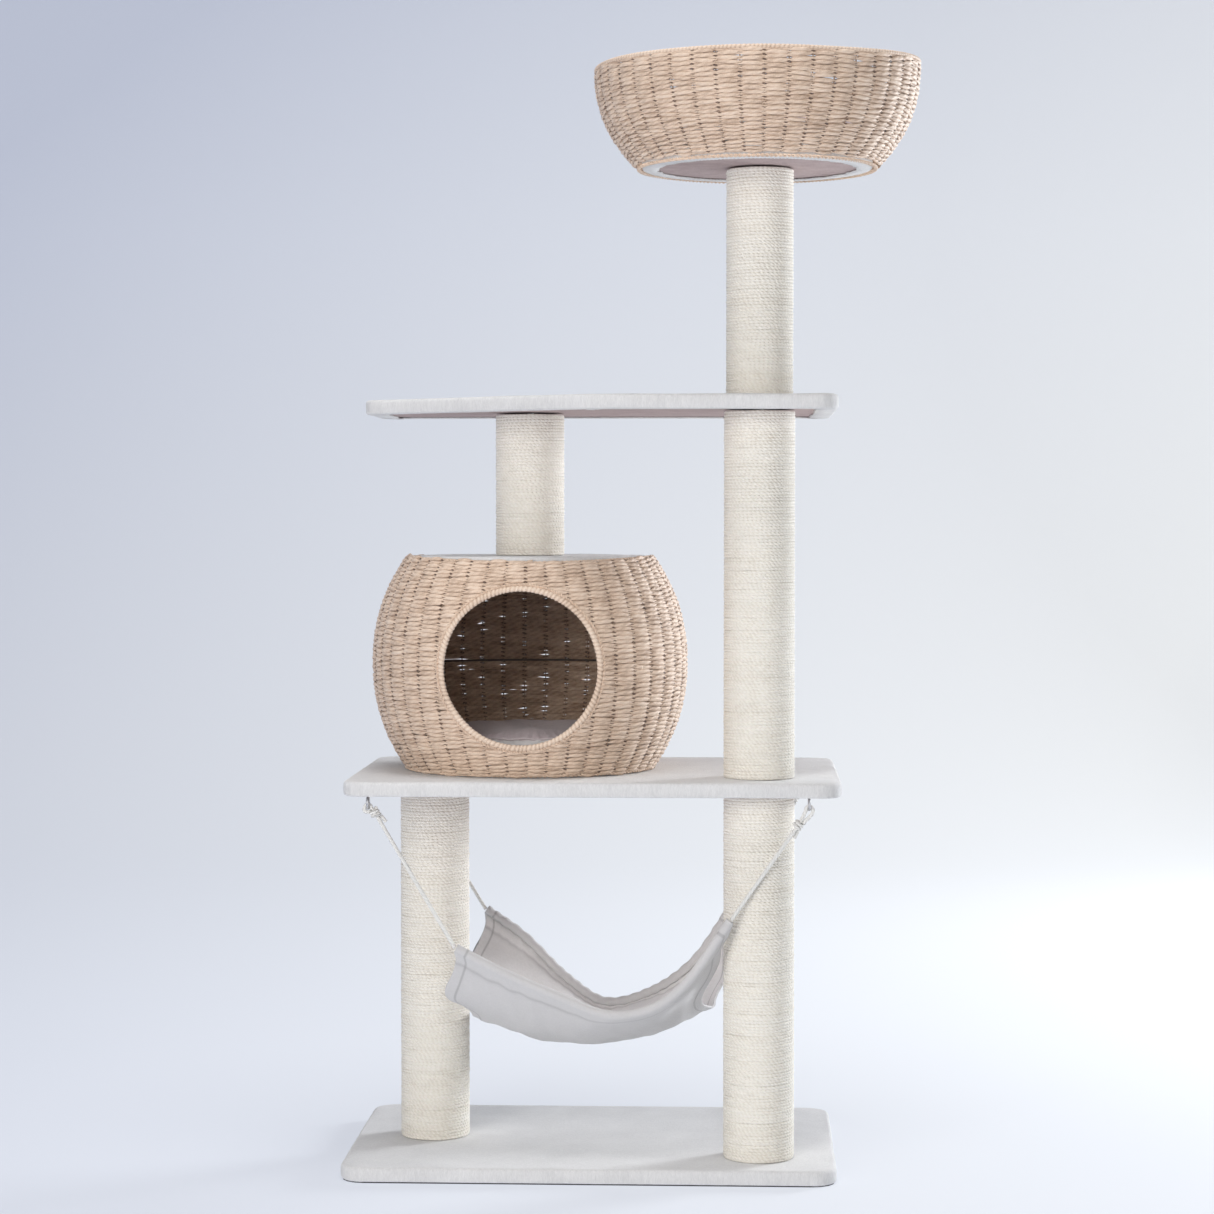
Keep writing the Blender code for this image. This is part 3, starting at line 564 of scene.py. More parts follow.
def weft(wall, pitch, loosened, inside, t):
    """A stretch of the strand that spirals up a wall, by turn: its line, frame, section, ply and shade.

    It passes through the wall's middle at each stake, thin and with a dot of painted shade above or below,
    and bulges out or in between two stakes. Its inner side is painted darker by the share inside, as shade.
    """
    angle = TAU * t
    ease = np.clip(np.minimum(t, wall.run[-1] / pitch - t) * 2, 0, 1)
    wave, slope = np.cos(STAKES * angle / 2), -np.sin(STAKES * angle / 2)
    hump = np.abs(wave)
    lift = 0.0013 * np.sign(wave) * hump ** 0.75
    uneven = 0.00022 * ripple(t * 4, 0, 21, 1.3) + 0.00018 * ripple(t * STAKES, 0, 22, 3.1)
    sway = 0.00010 * ripple(t * STAKES / 6, np.floor(t), 23, 2.2)
    sway = sway + 0.0008 * ripple(angle * 7, t / 8, 26, 2.0)
    run = np.clip(pitch * t + sway * ease, 0, wall.run[-1])
    fat = 1 + 0.05 * ripple(t * STAKES, 0, 24, 2.6)
    fat = fat * (1 - loosened(angle, np.interp(run, wall.run, wall.z), np.floor(t)))
    tall = pitch * (0.53 + 0.51 * hump ** 0.7) * fat
    deep = (0.00125 + 0.0005 * hump) * fat
    around = turns_of(STRAND_SIDES)
    section = np.stack([tall[:, None] * np.cos(around), deep[:, None] * np.sin(around)], -1)
    ply = 2 * around[None, :] + (t * STAKES * 2.3 * TAU)[:, None]
    edge = np.cos(around)
    # Painted shade: dark dots in the holes above or below each crossing, creases beside the crossings, the
    # strand's upper and lower edges between rows, and its inner side
    dot_shade = bell(wave, 0, 0.20)[:, None] * np.clip(np.sign(slope)[:, None] * edge, 0, 1) ** 2
    crease_shade = bell(wave, 0, 0.50)[:, None] * edge ** 4
    shade = 2.6 * dot_shade + 0.24 * crease_shade + 0.20 * edge ** 8 + inside * np.clip(-np.sin(around), 0, 1)
    return wall.at(run, angle, lift + uneven), section, ply, shade


def weave(name, wall, pitch, bands, with_hole, loosened, inside):
    """A woven wall, in bands of one piece each: the weft's rows, and the stakes that they pass."""
    replaced = [name + "_wicker"]
    rows = wall.run[-1] / pitch
    step = STAKES * 8       # points per turn, so that one falls on every stake
    row_tone = np.random.default_rng(31).uniform(0.15, 0.85, int(rows) + 2)
    for band in range(bands):
        bundle = Bundle()
        low, high = rows * band / bands, rows * (band + 1) / bands
        t = np.unique([low, *(np.arange(math.ceil(low * step), math.floor(high * step) + 1) / step), high])
        points = weft(wall, pitch, loosened, inside, t)[0][0]
        runs = kept_runs(t, outside_hole(points)) if with_hole else [t]
        for run in runs:
            (line, up, out), section, ply, shade = weft(wall, pitch, loosened, inside, run)
            tone = 0.36 + 0.20 * np.interp(run, np.arange(len(row_tone)), row_tone)
            tone = tone + 0.14 * ripple(run * STAKES, 0, 41, 2.4)
            bundle.add(swept(line, up, out, section), len(run), STRAND_SIDES, tone[:, None] - shade, ply)
        bundle.mesh(f"{name}_strands_{band + 1}", "wicker", "tree", replaced)
    make_stakes(name, wall, replaced, with_hole)


def make_stakes(name, wall, replaced, with_hole):
    """The thin uprights between the strands, painted dark as the shade seen through the holes at the
    crossings.
    """
    bundle = Bundle()
    sides = 6
    section = round_section(STAKE_RADIUS, sides)
    run = np.linspace(0.0005, wall.run[-1] - 0.0005, 60)
    for stake in range(STAKES):
        # Each stake stands at a crossing, half a step round, so its painted shade backs the hole there
        angle = TAU * (stake + 0.5) / STAKES
        points = wall.at(run, np.full(len(run), angle))[0]
        stretches = kept_runs(run, outside_hole(points)) if with_hole else [run]
        for stretch in stretches:
            line, up, out = wall.at(stretch, np.full(len(stretch), angle), -0.0003)
            # tone -0.2: the stakes take the ramp's darkest colours, painted shade
            bundle.add(swept(line, out, np.cross(out, up), section), len(stretch), sides, -0.2)
    bundle.mesh(name + "_stakes", "wicker", "tree", replaced)


def barrel_radius(z):
    middle, half = (CAVE_LOW + CAVE_HIGH) / 2, (CAVE_HIGH - CAVE_LOW) / 2
    share = np.minimum(1.0, np.abs(z - middle) / half)
    return CAVE_END_RADIUS + CAVE_BULGE * (1 - share ** CAVE_ROUNDNESS)


def bowl_radius(z):
    share = np.clip((BOWL_HIGH - z) / (BOWL_HIGH - BOWL_LOW), 0, 1)
    return BOWL_LOW_RADIUS + BOWL_FLARE * (1 - share ** BOWL_ROUNDNESS)


def whipped(name, line, radius, replaced):
    """A rim wound round and round with a flat strand: slanting ridges on a closed tube."""
    side, up = path_frames(line, closed=True)
    sides = 14
    step = np.linalg.norm(np.roll(line, -1, 0) - line, axis=1).mean()
    winds = round(len(line) * step / WHIP_PITCH)
    angle, place = turns_of(sides), turns_of(len(line))
    uneven = 1.2 * ripple(place * 9, 0, 71, 2.0) * np.sin(place / 2)
    crest = np.abs(np.sin(((winds * place + uneven)[:, None] + angle) / 2))
    ridge = radius * (1 + 0.24 * (crest - 0.6)) * (1 + 0.08 * np.sin(7 * place))[:, None]
    # Painted shade in the grooves between the winds, lighter on their ridges, with a slow change of tone
    # round the rim
    tone = 0.15 + 0.55 * crest + 0.12 * np.sin(5 * place)[:, None]
    points = swept(line, side, up, ring_section(ridge, angle))
    one_tube(name, "wicker", "tree", replaced, points, len(line), sides, tone, closed=True)


def twisted_pair(name, line, thick, turns):
    """Two strands twisted round each other along a closed line."""
    side, up = path_frames(line, closed=True)
    bundle = Bundle()
    for strand in range(2):
        phase = turns * turns_of(len(line)) + strand * math.pi
        offset = thick * 0.42 * (side * np.cos(phase)[:, None] + up * np.sin(phase)[:, None])
        # Each strand has its own tone; the cosine term is painted shade of the twist, lighter and darker in
        # turn as the strand winds round the other
        tone = 0.42 + 0.16 * strand + 0.12 * np.cos(phase)[:, None]
        points = swept(line + offset, side, up, round_section(thick / 2, STRAND_SIDES))
        bundle.add(points, len(line), STRAND_SIDES, tone, closed=True)
    bundle.mesh(name, "wicker", "tree", [])


def entrance_ring(reach, count, out=0.0):
    """A closed line round the entrance, on the wall's middle surface or a little outside it."""
    angle = turns_of(count)
    x, z = reach * np.cos(angle), ENTRANCE_Z + reach * np.sin(angle)
    middle = barrel_radius(z) - WALL / 2 + out
    return np.stack([CAVE.x + x, CAVE.y - np.sqrt(middle ** 2 - x ** 2), z], -1)


def level_ring(centre, reach, z, count=RING_STEPS):
    """A closed circle round an upright axis; z is one height, or one for each point."""
    angle = turns_of(count)
    return np.stack([centre.x + reach * np.cos(angle), centre.y + reach * np.sin(angle), 0 * angle + z], -1)


def make_cave():
    low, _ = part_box("cave_wicker")
    wall = WovenWall(CAVE, barrel_radius, low.z + 0.0014, CAVE_WEAVE_TOP, cave_dip)
    # 0.42: the inner sides of the cave's strands are painted darker, as the shade inside the cave
    weave("cave", wall, CAVE_PITCH, 4, True, cave_loose, 0.42)
    whipped("cave_rim", entrance_ring(ENTRANCE_RADIUS, 900), RIM_RADIUS, ["cave_entrance_rim"])
    twisted_pair("cave_rim_braid", entrance_ring(ENTRANCE_RADIUS + 0.0048, 1100, 0.0012), 0.0026, 96)
    foot = level_ring(CAVE, CAVE_END_RADIUS + 0.0004, low.z + 0.0030)
    twisted_pair("cave_foot_braid", foot, 0.0026, STAKES * 2)
    top_z = CAVE_WEAVE_TOP - 0.0008 + cave_dip(CAVE_WEAVE_TOP, turns_of(RING_STEPS))
    twisted_pair("cave_top_braid", level_ring(CAVE, CAVE_END_RADIUS - 0.0026, top_z), 0.0020, STAKES * 2)


def make_bowl():
    low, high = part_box("bowl_wicker")
    wall = WovenWall(BOWL, bowl_radius, low.z + 0.0042, high.z + 0.0028, bowl_lift)
    weave("bowl", wall, BOWL_PITCH, 3, False, bowl_loose, 0.0)
    foot = level_ring(BOWL, BOWL_LOW_RADIUS - 0.0008, low.z + 0.0006)
    twisted_pair("bowl_foot_braid", foot, 0.0024, STAKES * 2)
    rim_low, rim_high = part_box("bowl_rim")
    reach = (rim_high.x - rim_low.x) / 2 - BOWL_RIM_RADIUS
    thick = BOWL_RIM_RADIUS * 0.60
    count = 1500
    rim_z = rim_high.z - thick + bowl_lift(BOWL_HIGH, turns_of(count))
    whipped("bowl_whipped_rim", level_ring(BOWL, reach, rim_z, count), thick, ["bowl_rim"])


# -------- plush boards
def outline(corners, radius, spacing):
    """Points and outward normals round a convex polygon with rounded corners, and where the corners are."""
    points, normals, marks = [], [], []
    corners = [Vector(c) for c in corners]
    arcs = []
    for i, corner in enumerate(corners):
        before = (corner - corners[i - 1]).normalized()
        after = (corners[(i + 1) % len(corners)] - corner).normalized()
        n1, n2 = Vector((before.y, -before.x)), Vector((after.y, -after.x))
        centre = corner - (n1 + n2) * radius / (1 + n1.dot(n2))
        arcs.append((centre, math.atan2(n1.y, n1.x), before.angle(after)))
    for i, (centre, start, turn) in enumerate(arcs):
        steps = max(3, math.ceil(turn * radius / (spacing * 0.6)))
        for k in range(steps + 1):
            angle = start + turn * k / steps
            normal = Vector((math.cos(angle), math.sin(angle)))
            points.append(centre + normal * radius)
            normals.append(normal)
            marks.append(1.0)
        following, begin, _ = arcs[(i + 1) % len(arcs)]
        first = points[-1]
        last = following + Vector((math.cos(begin), math.sin(begin))) * radius
        steps = max(1, round((last - first).length / spacing))
        for k in range(1, steps):
            points.append(first.lerp(last, k / steps))
            normals.append(normals[len(normals) - k])
            marks.append(0.0)
    marks = np.array(marks)
    for _ in range(3):
        marks = (np.roll(marks, 1) + marks + np.roll(marks, -1)) / 3
    return np.array(points), np.array(normals), marks


# Rings of a cover's profile
MARGIN = range(2, 6)    # folded under the board
PLEATED = range(2, 8)   # the margin and the start of the rounded lower edge
OUTSIDE_FROM = 5
TOP_RINGS = 3


def cover_profile(low, high, fold):
    """Inset and height of each ring: inside the cover, round its margin, up its side, over its top."""
    profile = [(COVER, high - COVER), (COVER, low + FOLD), (fold, low + FOLD)]
    profile += [(fold + 0.0004, low + FOLD / 2), (fold, low), (fold * 0.55, low)]
    round_low, round_high = 0.0024, 0.0042
    for k in range(5):
        angle = math.pi / 2 * k / 4
        profile.append((round_low * (1 - math.sin(angle)), low + round_low * (1 - math.cos(angle))))
    profile += [(0.0, low + (high - low) * share) for share in (0.35, 0.55)]
    for k in range(6):
        angle = math.pi / 2 * k / 5
        profile.append((round_high * (1 - math.cos(angle)), high - round_high * (1 - math.sin(angle))))
    return profile + [(0.012, high), (0.024, high)]


def plush_cover(prefix, corners, radius, fold, seed, slack=1.0):
    """A fabric skin over a board: soft edges, pleated corners, and a margin folded under."""
    low, high = (corner.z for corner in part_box(prefix + "_cover"))
    points, normals, corner = outline(corners, radius, 0.0035)
    wave = ripple(points[:, 0], points[:, 1], seed, 0.09)
    fine = ripple(points[:, 0], points[:, 1], seed + 1, 0.022)
    pleat = slack * corner * np.abs(np.sin(travelled(points) * math.pi / PLEAT_PITCH + 2 * wave))
    profile = cover_profile(low, high, fold)
    rings = []
    for k, (inset, z) in enumerate(profile):
        share = (z - low) / (high - low)
        side = math.sin(math.pi * min(1, max(0, share)))
        drop = np.zeros(len(points))
        if k in PLEATED:
            drop = -0.0012 * pleat * min(1.0, inset / 0.006)
        if k >= OUTSIDE_FROM:
            inset = inset + 0.00022 * wave + 0.00016 * fine
            inset = inset - 0.0007 * side + 0.0011 * pleat * (1 - share) * side
        if k in MARGIN:
            inset = inset + 0.0014 * fine
        if k >= len(profile) - TOP_RINGS:
            drop = 0.00025 * wave
        ring = points - normals * np.reshape(inset, (-1, 1))
        rings.append(np.column_stack([ring, z + np.maximum(drop, -0.0011)]))
    ring_stack(prefix + "_plush", "plush", "tree", [prefix + "_cover"], rings)


def ring_corners(centre, radius, count=24):
    """A many-sided outline that stands for a circle."""
    reach = radius / math.cos(math.pi / count)
    return [(centre.x + reach * math.cos(angle), centre.y + reach * math.sin(angle))
            for angle in turns_of(count)]


def make_covers():
    for prefix, seed in (("base", 3), ("middle", 5)):
        low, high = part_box(prefix + "_cover")
        corners = [(low.x, low.y), (high.x, low.y), (high.x, high.y), (low.x, high.y)]
        plush_cover(prefix, corners, CORNER_RADIUS, FOLD_WIDTH, seed)
    low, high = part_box("top_cover")
    slanted = [(0.0, low.y), (high.x, low.y), (high.x, high.y), (low.x, high.y), (low.x, -0.010)]
    plush_cover("top", slanted, CORNER_RADIUS, FOLD_WIDTH, 7, slack=1.3)
    for prefix, centre, fold in (("cave_floor", CAVE, FOLD_WIDTH), ("cave_top", CAVE, FOLD_WIDTH),
                                 ("bowl_floor", BOWL, BOWL_FOLD_WIDTH)):
        low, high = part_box(prefix + "_cover")
        radius = (high.x - low.x) / 2
        plush_cover(prefix, ring_corners(centre, radius), radius * 0.98, fold, 11, slack=0.6)


# -------- cushions
SEAM = 0.74     # height of a cushion's seam, as a share of the cushion's height
# Rings of a cushion, as shares of its radius and height
CUSHION_SIDE = [(0.2, 0.0), (0.6, 0.0), (0.90, 0.0), (0.965, 0.05), (0.99, 0.16), (1.0, 0.34),
                (0.997, 0.52), (0.985, 0.66)]
CUSHION_CROWN = [(0.972, SEAM), (0.955, 0.775), (0.92, 0.82), (0.86, 0.865), (0.78, 0.91),
                 (0.68, 0.95), (0.56, 0.98), (0.42, 0.99), (0.28, 0.985), (0.15, 0.98), (0.05, 0.98)]


def make_cushion(name, cad_name, body, seed):
    """A round boxed pad: upright pale sides, a puckered seam, and a crowned top dented by use."""
    low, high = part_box(cad_name)
    centre = (low + high) / 2
    radius = (high.x - low.x) / 2
    height = high.z - low.z
    steps = 240
    angle = turns_of(steps)
    x, y = np.cos(angle), np.sin(angle)
    waviness = ripple(3 * x, 3 * y, seed, 1.4)
    folds = 0.0010 * np.sin(52 * angle + 3 * np.sin(3 * angle + seed))
    rings, tones = [], []
    for share, level in CUSHION_SIDE + CUSHION_CROWN:
        pucker = folds * bell(level, SEAM, 0.12)
        reach = radius * share + 0.0012 * waviness * (share > 0.9) + 0.6 * pucker
        dent = 0.0
        if level > SEAM:
            dent = (0.0020 * ripple(reach * x, reach * y, seed + 1, 0.10) * (1 - share ** 4)
                    + 0.0005 * waviness)
        z = np.maximum(low.z, low.z + height * level + dent + pucker * (level > 0.3))
        rings.append(np.column_stack([centre.x + reach * x, centre.y + reach * y, z]))
        tones.append(np.full(steps, 0.0 if level < SEAM else 1.0))
    cushion = ring_stack(name, "cushion", body, [cad_name], rings, tone=np.concatenate(tones))
    seam_z = low.z + height * (SEAM - 0.01) + 0.0007 * np.sin(23 * angle)
    line = level_ring(centre, radius * 0.982, seam_z, steps)
    side, up = path_frames(line, closed=True)
    points = swept(line, side, up, round_section(0.0013, 8))
    one_tube(name + "_piping", "cushion", body, [], points, steps, 8, 0.7, closed=True)


# -------- hammock
def eased(stops, at):
    """A smooth curve through (place, value) stops."""
    places, values = np.array(stops).T
    k = np.clip(np.searchsorted(places, at, side="right") - 1, 0, len(places) - 2)
    share = np.clip((at - places[k]) / (places[k + 1] - places[k]), 0, 1)
    return values[k] + (values[k + 1] - values[k]) * (0.5 - 0.5 * np.cos(math.pi * share))


def end_reach(across):
    """Where the sheet's left and right ends are along X."""
    return eased(LEFT_END, across), eased(RIGHT_END, across)


def gathers(along, shift=0):
    """Small even folds along a hem."""
    return np.sin(TAU * along * 24 + 1.6 * np.sin(TAU * along * 3 + shift))


def hem_curl(path, mirror, lift):
    """The hem's roll round its cord, a little puckered, one row of points for each station."""
    along = unit(np.gradient(path, axis=0))
    up = np.cross(along, REARWARDS)
    up = unit(np.where(up[:, 2:] < 0, -up, up))
    angle = np.radians(np.linspace(-45, 225, CURL_STEPS))[:, None]
    curl = path[:, None] + HEM_RADIUS * (mirror * REARWARDS * np.cos(angle) + up[:, None] * np.sin(angle))
    pucker = gathers(np.linspace(0, 1, len(path)))[:, None, None]
    return curl + unit(curl - path[:, None]) * 0.0006 * lift * (pucker + 1.1)


def end_seams(along):
    """How far each point is on the stitching along the sheet's two ends."""
    return bell(np.minimum(along, 1 - along) * SHEET_LENGTH, END_BAND, STITCH_WIDTH)


def hanging_sheet(front, rear, along, across):
    """The sheet between its hems, sagging, wavy and gathered at the rear, and how much painted shade lies in
    its stitched seams.
    """
    sag = smooth_path(np.array(SAGS)[:, None], len(along))
    left, right = end_reach(across)
    near = front[:, None, :] + (rear - front)[:, None, :] * across[..., None]
    left_hem, right_hem = end_reach(np.where(across < 0.5, 0.0, 1.0))
    share = np.clip((near[..., 0] - left_hem) / (right_hem - left_hem), 0, 1)
    x = left + (right - left) * share
    y = near[..., 1]
    z = near[..., 2] - 4 * sag * across * (1 - across) - HEM_RADIUS
    edge = np.minimum(across, 1 - across) * SHEET_DEPTH
    calm = np.clip(edge / 0.010, 0, 1)
    ruffle = calm * np.exp(-edge / 0.016) * (across > 0.5) * gathers(along, 4)
    z = z + calm * 0.0018 * ripple(x * 0.7, y * 1.2, 51, 0.10)
    z = z + calm * 0.0006 * ripple(x * 1.6, y * 0.5, 52, 0.035) * (0.5 + np.abs(2 * along - 1))
    seams = end_seams(along) + bell(edge, CHANNEL_BAND, STITCH_WIDTH)
    z = z + 0.0009 * ruffle - 0.0006 * seams
    return np.stack([x, y + 0.0008 * ruffle, z], -1), np.minimum(seams, 1)


def sheet_rows(stations, steps):
    """Middle surface of the hanging sheet and the painted shade of its seams, from hem to hem."""
    front, rear = smooth_path(FRONT_HEM, stations), smooth_path(REAR_HEM, stations)
    along = np.linspace(0, 1, stations)[:, None]
    body, seams = hanging_sheet(front, rear, along, np.linspace(0.02, 0.98, steps)[None, :])
    curl_seams = np.broadcast_to(end_seams(along), (stations, CURL_STEPS))
    front_curl, rear_curl = hem_curl(front, 1.0, 0.15), hem_curl(rear, -1.0, 0.9)
    return (np.concatenate([front_curl, body, rear_curl[:, ::-1]], axis=1),
            np.concatenate([curl_seams, seams, curl_seams], axis=1))


def shell(name, look, body, replaced, rows, thickness, upper, under):
    """Thicken a grid of points to both sides into one closed sheet, each face with its own tone."""
    normal = unit(np.cross(np.gradient(rows, axis=0), np.gradient(rows, axis=1)))
    n, m = rows.shape[:2]
    size = n * m
    points = np.concatenate([(rows + normal * thickness / 2).reshape(-1, 3),
                             (rows - normal * thickness / 2).reshape(-1, 3)])
    i, k = np.meshgrid(np.arange(n - 1), np.arange(m - 1), indexing="ij")
    a = (i * m + k).ravel()
    top = np.stack([a, a + m, a + m + 1, a + 1], -1)
    bottom = top[:, ::-1] + size
    rim = np.concatenate([np.arange(m), np.arange(1, n) * m + m - 1,
                          (n - 1) * m + np.arange(m - 2, -1, -1), np.arange(n - 2, 0, -1) * m])
    following = np.roll(rim, -1)
    border = np.stack([rim, following, following + size, rim + size], -1)
    return new_mesh(name, points, np.concatenate([top, bottom, border]), [], look, body, replaced,
                    tone=np.concatenate([upper.ravel(), under.ravel()]))


def make_hammock():
    rows, seams = sheet_rows(300, 130)
    # The outer underside is painted darker, and the seams darker still on both faces: painted shade
    sheet = shell("hammock_cloth", "hammock", "hammock", ["hammock_sheet"], rows, SHEET,
                  1 - 0.75 * seams, 0.55 - 0.45 * seams)
    for row, hem in HEMS.items():
        laid_rope("hem_rope_" + row, smooth_path(hem, 300), "hammock", ["hem_cord_" + row])


# -------- ropes
def laid_rope(name, line, body, replaced, radius=ROPE_RADIUS):
    """A three-strand twisted cord along a path."""
    side, up = path_frames(line)
    sides = 12
    around = turns_of(sides)
    phase = 3 * around[None, :] + (TAU * travelled(line) / ROPE_LAY)[:, None]
    # Painted shade: darker in the grooves between the three strands, lighter on their crowns
    tone = 0.5 + 0.25 * np.cos(phase)
    points = swept(line, side, up, ring_section(radius * (0.94 + 0.08 * np.cos(phase)), around))
    return one_tube(name, "rope", body, replaced, points, len(line), sides, tone, phase)


HEMS = {"front": FRONT_HEM, "rear": REAR_HEM}
# X and Z of each rope's knot, just below its eye
KNOTS = {"front_left": (-0.2595, 0.4465), "front_right": (0.2550, 0.4340),
         "rear_left": (-0.2450, 0.4380), "rear_right": (0.2550, 0.4340)}
EYES = {place: centre_of("eye_screw_" + place) for place in KNOTS}


def make_ropes():
    """From each eye a loop, a knot and a straight rope to the end of its hem."""
    for place, (knot_x, knot_z) in KNOTS.items():
        row, end_name = place.split("_")
        hem = np.array(HEMS[row])
        end, inner = (hem[0], hem[1]) if end_name == "left" else (hem[-1], hem[-2])
        wire = Vector((EYES[place].x, hem[0][1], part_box("eye_screw_" + place)[0].z + EYE_WIRE))
        body = row + "_ropes"
        knot = np.array([knot_x, hem[0][1], knot_z])
        stop = end + unit(end - inner) * ROPE_GAP
        straight = [knot + (stop - knot) * k / 5 for k in range(1, 6)]
        rope = even_path([*loop_path(wire, knot), *straight], 0.0012)
        obj = laid_rope("rope_" + place + "_cord", rope, body, ["rope_" + place])
        make_knot(place, knot, stop, body)


def loop_path(wire, knot):
    """From the knot up behind the eye's lowest wire, over it and down again to the knot."""
    reach = EYE_WIRE + ROPE_RADIUS
    away = math.copysign(1.0, wire.x)
    base = np.array(wire)
    over = [base + reach * np.array([away * math.cos(angle), 0, math.sin(angle)])
            for angle in np.radians([20, 60, 100, 140])]
    return [knot + np.array([away * 0.004, 0.0012, -0.001]),
            base + np.array([away * reach * 0.95, 0, -0.004]), *over,
            base + np.array([-away * reach * 1.1, 0, -0.002]), knot]


def make_knot(place, knot, stop, body):
    """Two tight turns round the standing rope, and the loose tail."""
    along = unit(stop - knot)
    side = unit(np.cross(along, REARWARDS))
    turn = np.linspace(0, 2.2 * TAU, 90)[:, None]
    line = (knot + along * (-0.002 + 0.0042 * turn / TAU)
            + ROPE_RADIUS * 1.75 * (side * np.cos(turn) + REARWARDS * np.sin(turn)))
    bend, tail_end = line[-1] + along * 0.004 + side * 0.003, line[-1] + along * 0.012 + side * 0.004
    line = np.vstack([line, smooth_path([line[-1], bend, tail_end], 12)[1:]])
    return [laid_rope("knot_" + place, line, body, [], ROPE_RADIUS * 0.92)]


def make_eye_screws():
    """A bent wire from its threaded shank in the board round to an open ring."""
    spacing = 0.0006
    for place, eye in EYES.items():
        low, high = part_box("eye_screw_" + place)
        y = HEMS[place.split("_")[0]][0][1]
        centre = np.array([eye.x, y, low.z + EYE_WIRE + EYE_RADIUS])
        shank = [(eye.x, y, high.z), (eye.x, y, high.z - 0.008), (eye.x, y, centre[2] + EYE_RADIUS + 0.0030)]
        ring = [centre + EYE_RADIUS * np.array([0, math.cos(angle), math.sin(angle)])
                for angle in np.radians(np.linspace(70, -238, 26))]
        line = even_path([*map(np.array, shank), *ring], spacing)
        side, up = path_frames(line)
        run = np.arange(len(line)) * spacing
        thread = np.where(run < THREAD_LENGTH, 1 + 0.12 * np.sin(TAU * run / THREAD_PITCH), 1.0)
        points = swept(line, side, up, round_section(1.0, 12)[None] * (EYE_WIRE * thread)[:, None, None])
        one_tube("eye_" + place, "zinc", "tree", ["eye_screw_" + place], points, len(line), 12)


# -------- CAD nodes that stay
CAD_LOOKS = (("_board", "board"), ("post_core", "cardboard"), ("plug", "plug"),
             ("base_underlay", "felt"), ("cave_hoop", "wire"))


def finish_cad_nodes():
    """Give each solid from the frame a look; of those that show, the rest are zinc fasteners."""
    for part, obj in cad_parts.items():
        mat = MATERIALS[next((look for word, look in CAD_LOOKS if word in part), "zinc")]
        if not obj.material_slots:
            obj.data.materials.append(mat)
        for slot in obj.material_slots:
            slot.link = "OBJECT"
            slot.material = mat


# -------- stage, lights and camera
STAGE_DARK = (0.44, 0.48, 0.62)
STAGE_LIGHT = (0.96, 0.98, 1.0)
STAGE_GLOW = 0.66
FLOOR_FRONT, FLOOR_BACK = -9.0, 3.0
SWEEP_RADIUS = 1.6      # of the curve from the floor up to the wall
STAGE_HALF_WIDTH, STAGE_HEIGHT = 9.0, 7.0


def make_stage():
    """A pale floor and wall with a glow that darkens and turns bluer towards the upper left."""
    mat, tree, shader = material("backdrop", 0.9, specular=0.1)
    where = node(tree, "ShaderNodeSeparateXYZ")
    tree.links.new(coordinates(tree), where.inputs["Vector"])
    slope = blend(tree, [(where.outputs["X"], 0.21), (where.outputs["Y"], 0.088),
                         (where.outputs["Z"], -0.27), (1.0, 0.48)])
    colour = ramp(tree, slope, [(0.0, STAGE_DARK), (1.0, STAGE_LIGHT)])
    tree.links.new(colour, shader.inputs["Emission Color"])
    shader.inputs["Emission Strength"].default_value = STAGE_GLOW
    shader.inputs["Base Color"].default_value = (0.34, 0.35, 0.36, 1.0)
    profile = [(FLOOR_FRONT, 0.0), (FLOOR_BACK, 0.0)]
    for k in range(1, 13):
        angle = math.pi / 2 * k / 12
        profile.append((FLOOR_BACK + SWEEP_RADIUS * math.sin(angle), SWEEP_RADIUS * (1 - math.cos(angle))))
    profile.append((FLOOR_BACK + SWEEP_RADIUS, STAGE_HEIGHT))
    points = [(x, y, z - 0.0002) for y, z in profile for x in (-STAGE_HALF_WIDTH, STAGE_HALF_WIDTH)]
    faces = [(2 * i, 2 * i + 1, 2 * i + 3, 2 * i + 2) for i in range(len(profile) - 1)]
    mesh = bpy.data.meshes.new("backdrop")
    mesh.from_pydata(points, [], faces)
    mesh.shade_smooth()
    mesh.materials.append(mat)
    add_object("backdrop", mesh)


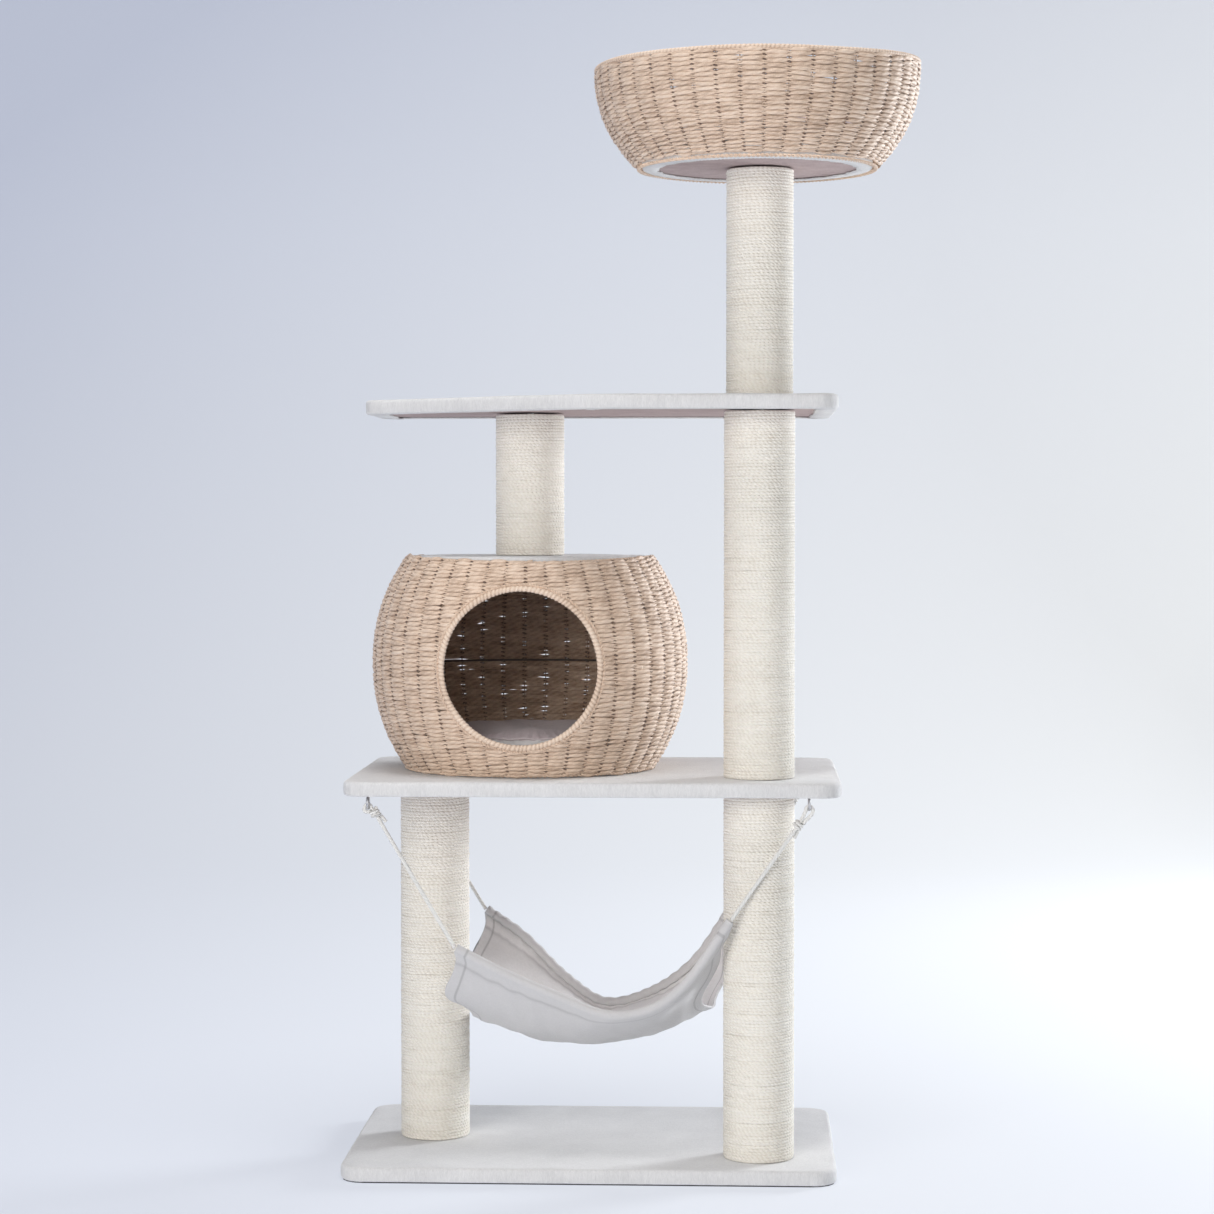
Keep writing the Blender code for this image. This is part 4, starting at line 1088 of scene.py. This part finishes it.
def aim(obj, place, direction):
    obj.location = place
    obj.rotation_euler = Vector(direction).to_track_quat("-Z", "Y").to_euler()


def area_light(name, place, target, size, power, colour):
    """A round lamp in watts that faces its target."""
    light = bpy.data.lights.new(name, "AREA")
    light.shape = "DISK"
    light.size = size
    light.energy = power
    light.color = colour
    aim(add_object(name, light), place, Vector(target) - Vector(place))


def make_lights():
    world = bpy.data.worlds.new("room")
    world.use_nodes = True
    background = world.node_tree.nodes["Background"]
    background.inputs["Color"].default_value = (0.90, 0.93, 1.0, 1.0)
    background.inputs["Strength"].default_value = 0.06
    bpy.context.scene.world = world
    area_light("key", (-1.8, -3.7, 1.15), (0.0, 0.0, 0.75), 2.4, 70, (1.0, 0.98, 0.96))
    area_light("fill", (-0.3, -4.2, 1.9), (0.0, 0.0, 0.75), 3.0, 46, (1.0, 0.98, 0.96))
    area_light("rim", (2.75, 2.0, 1.05), (0.1, 0.0, 0.75), 1.1, 117, (0.93, 0.96, 1.0))
    area_light("top", (0.2, -0.6, 4.2), (0.0, 0.0, 0.6), 2.4, 92, (0.97, 0.98, 1.0))


LENS = 88.55    # focal length in millimetres on a 36 mm sensor
CAMERA_PLACE = (0.179, -3.752, 0.806)
CAMERA_DIRECTION = (-0.0434, 0.9986, -0.0312)
POSTS = ("lower_left", "lower_right", "middle_right", "upper_left", "upper_right")


def make_camera():
    camera = bpy.data.cameras.new("camera")
    camera.lens = LENS
    camera.sensor_width = 36.0
    obj = add_object("camera", camera)
    aim(obj, CAMERA_PLACE, CAMERA_DIRECTION)
    bpy.context.scene.camera = obj


MATERIALS = make_materials()
make_camera()
make_lights()
make_stage()
bpy.context.scene.view_settings.view_transform = "Standard"
finish_cad_nodes()
make_covers()
for post in POSTS:
    sisal_wrap(post)
make_cave()
make_bowl()
make_cushion("cave_pad_cushion", "cave_cushion", "cave_pad", 61)
make_cushion("bowl_pad_cushion", "bowl_cushion", "bowl_pad", 62)
make_hammock()
make_ropes()
make_eye_screws()
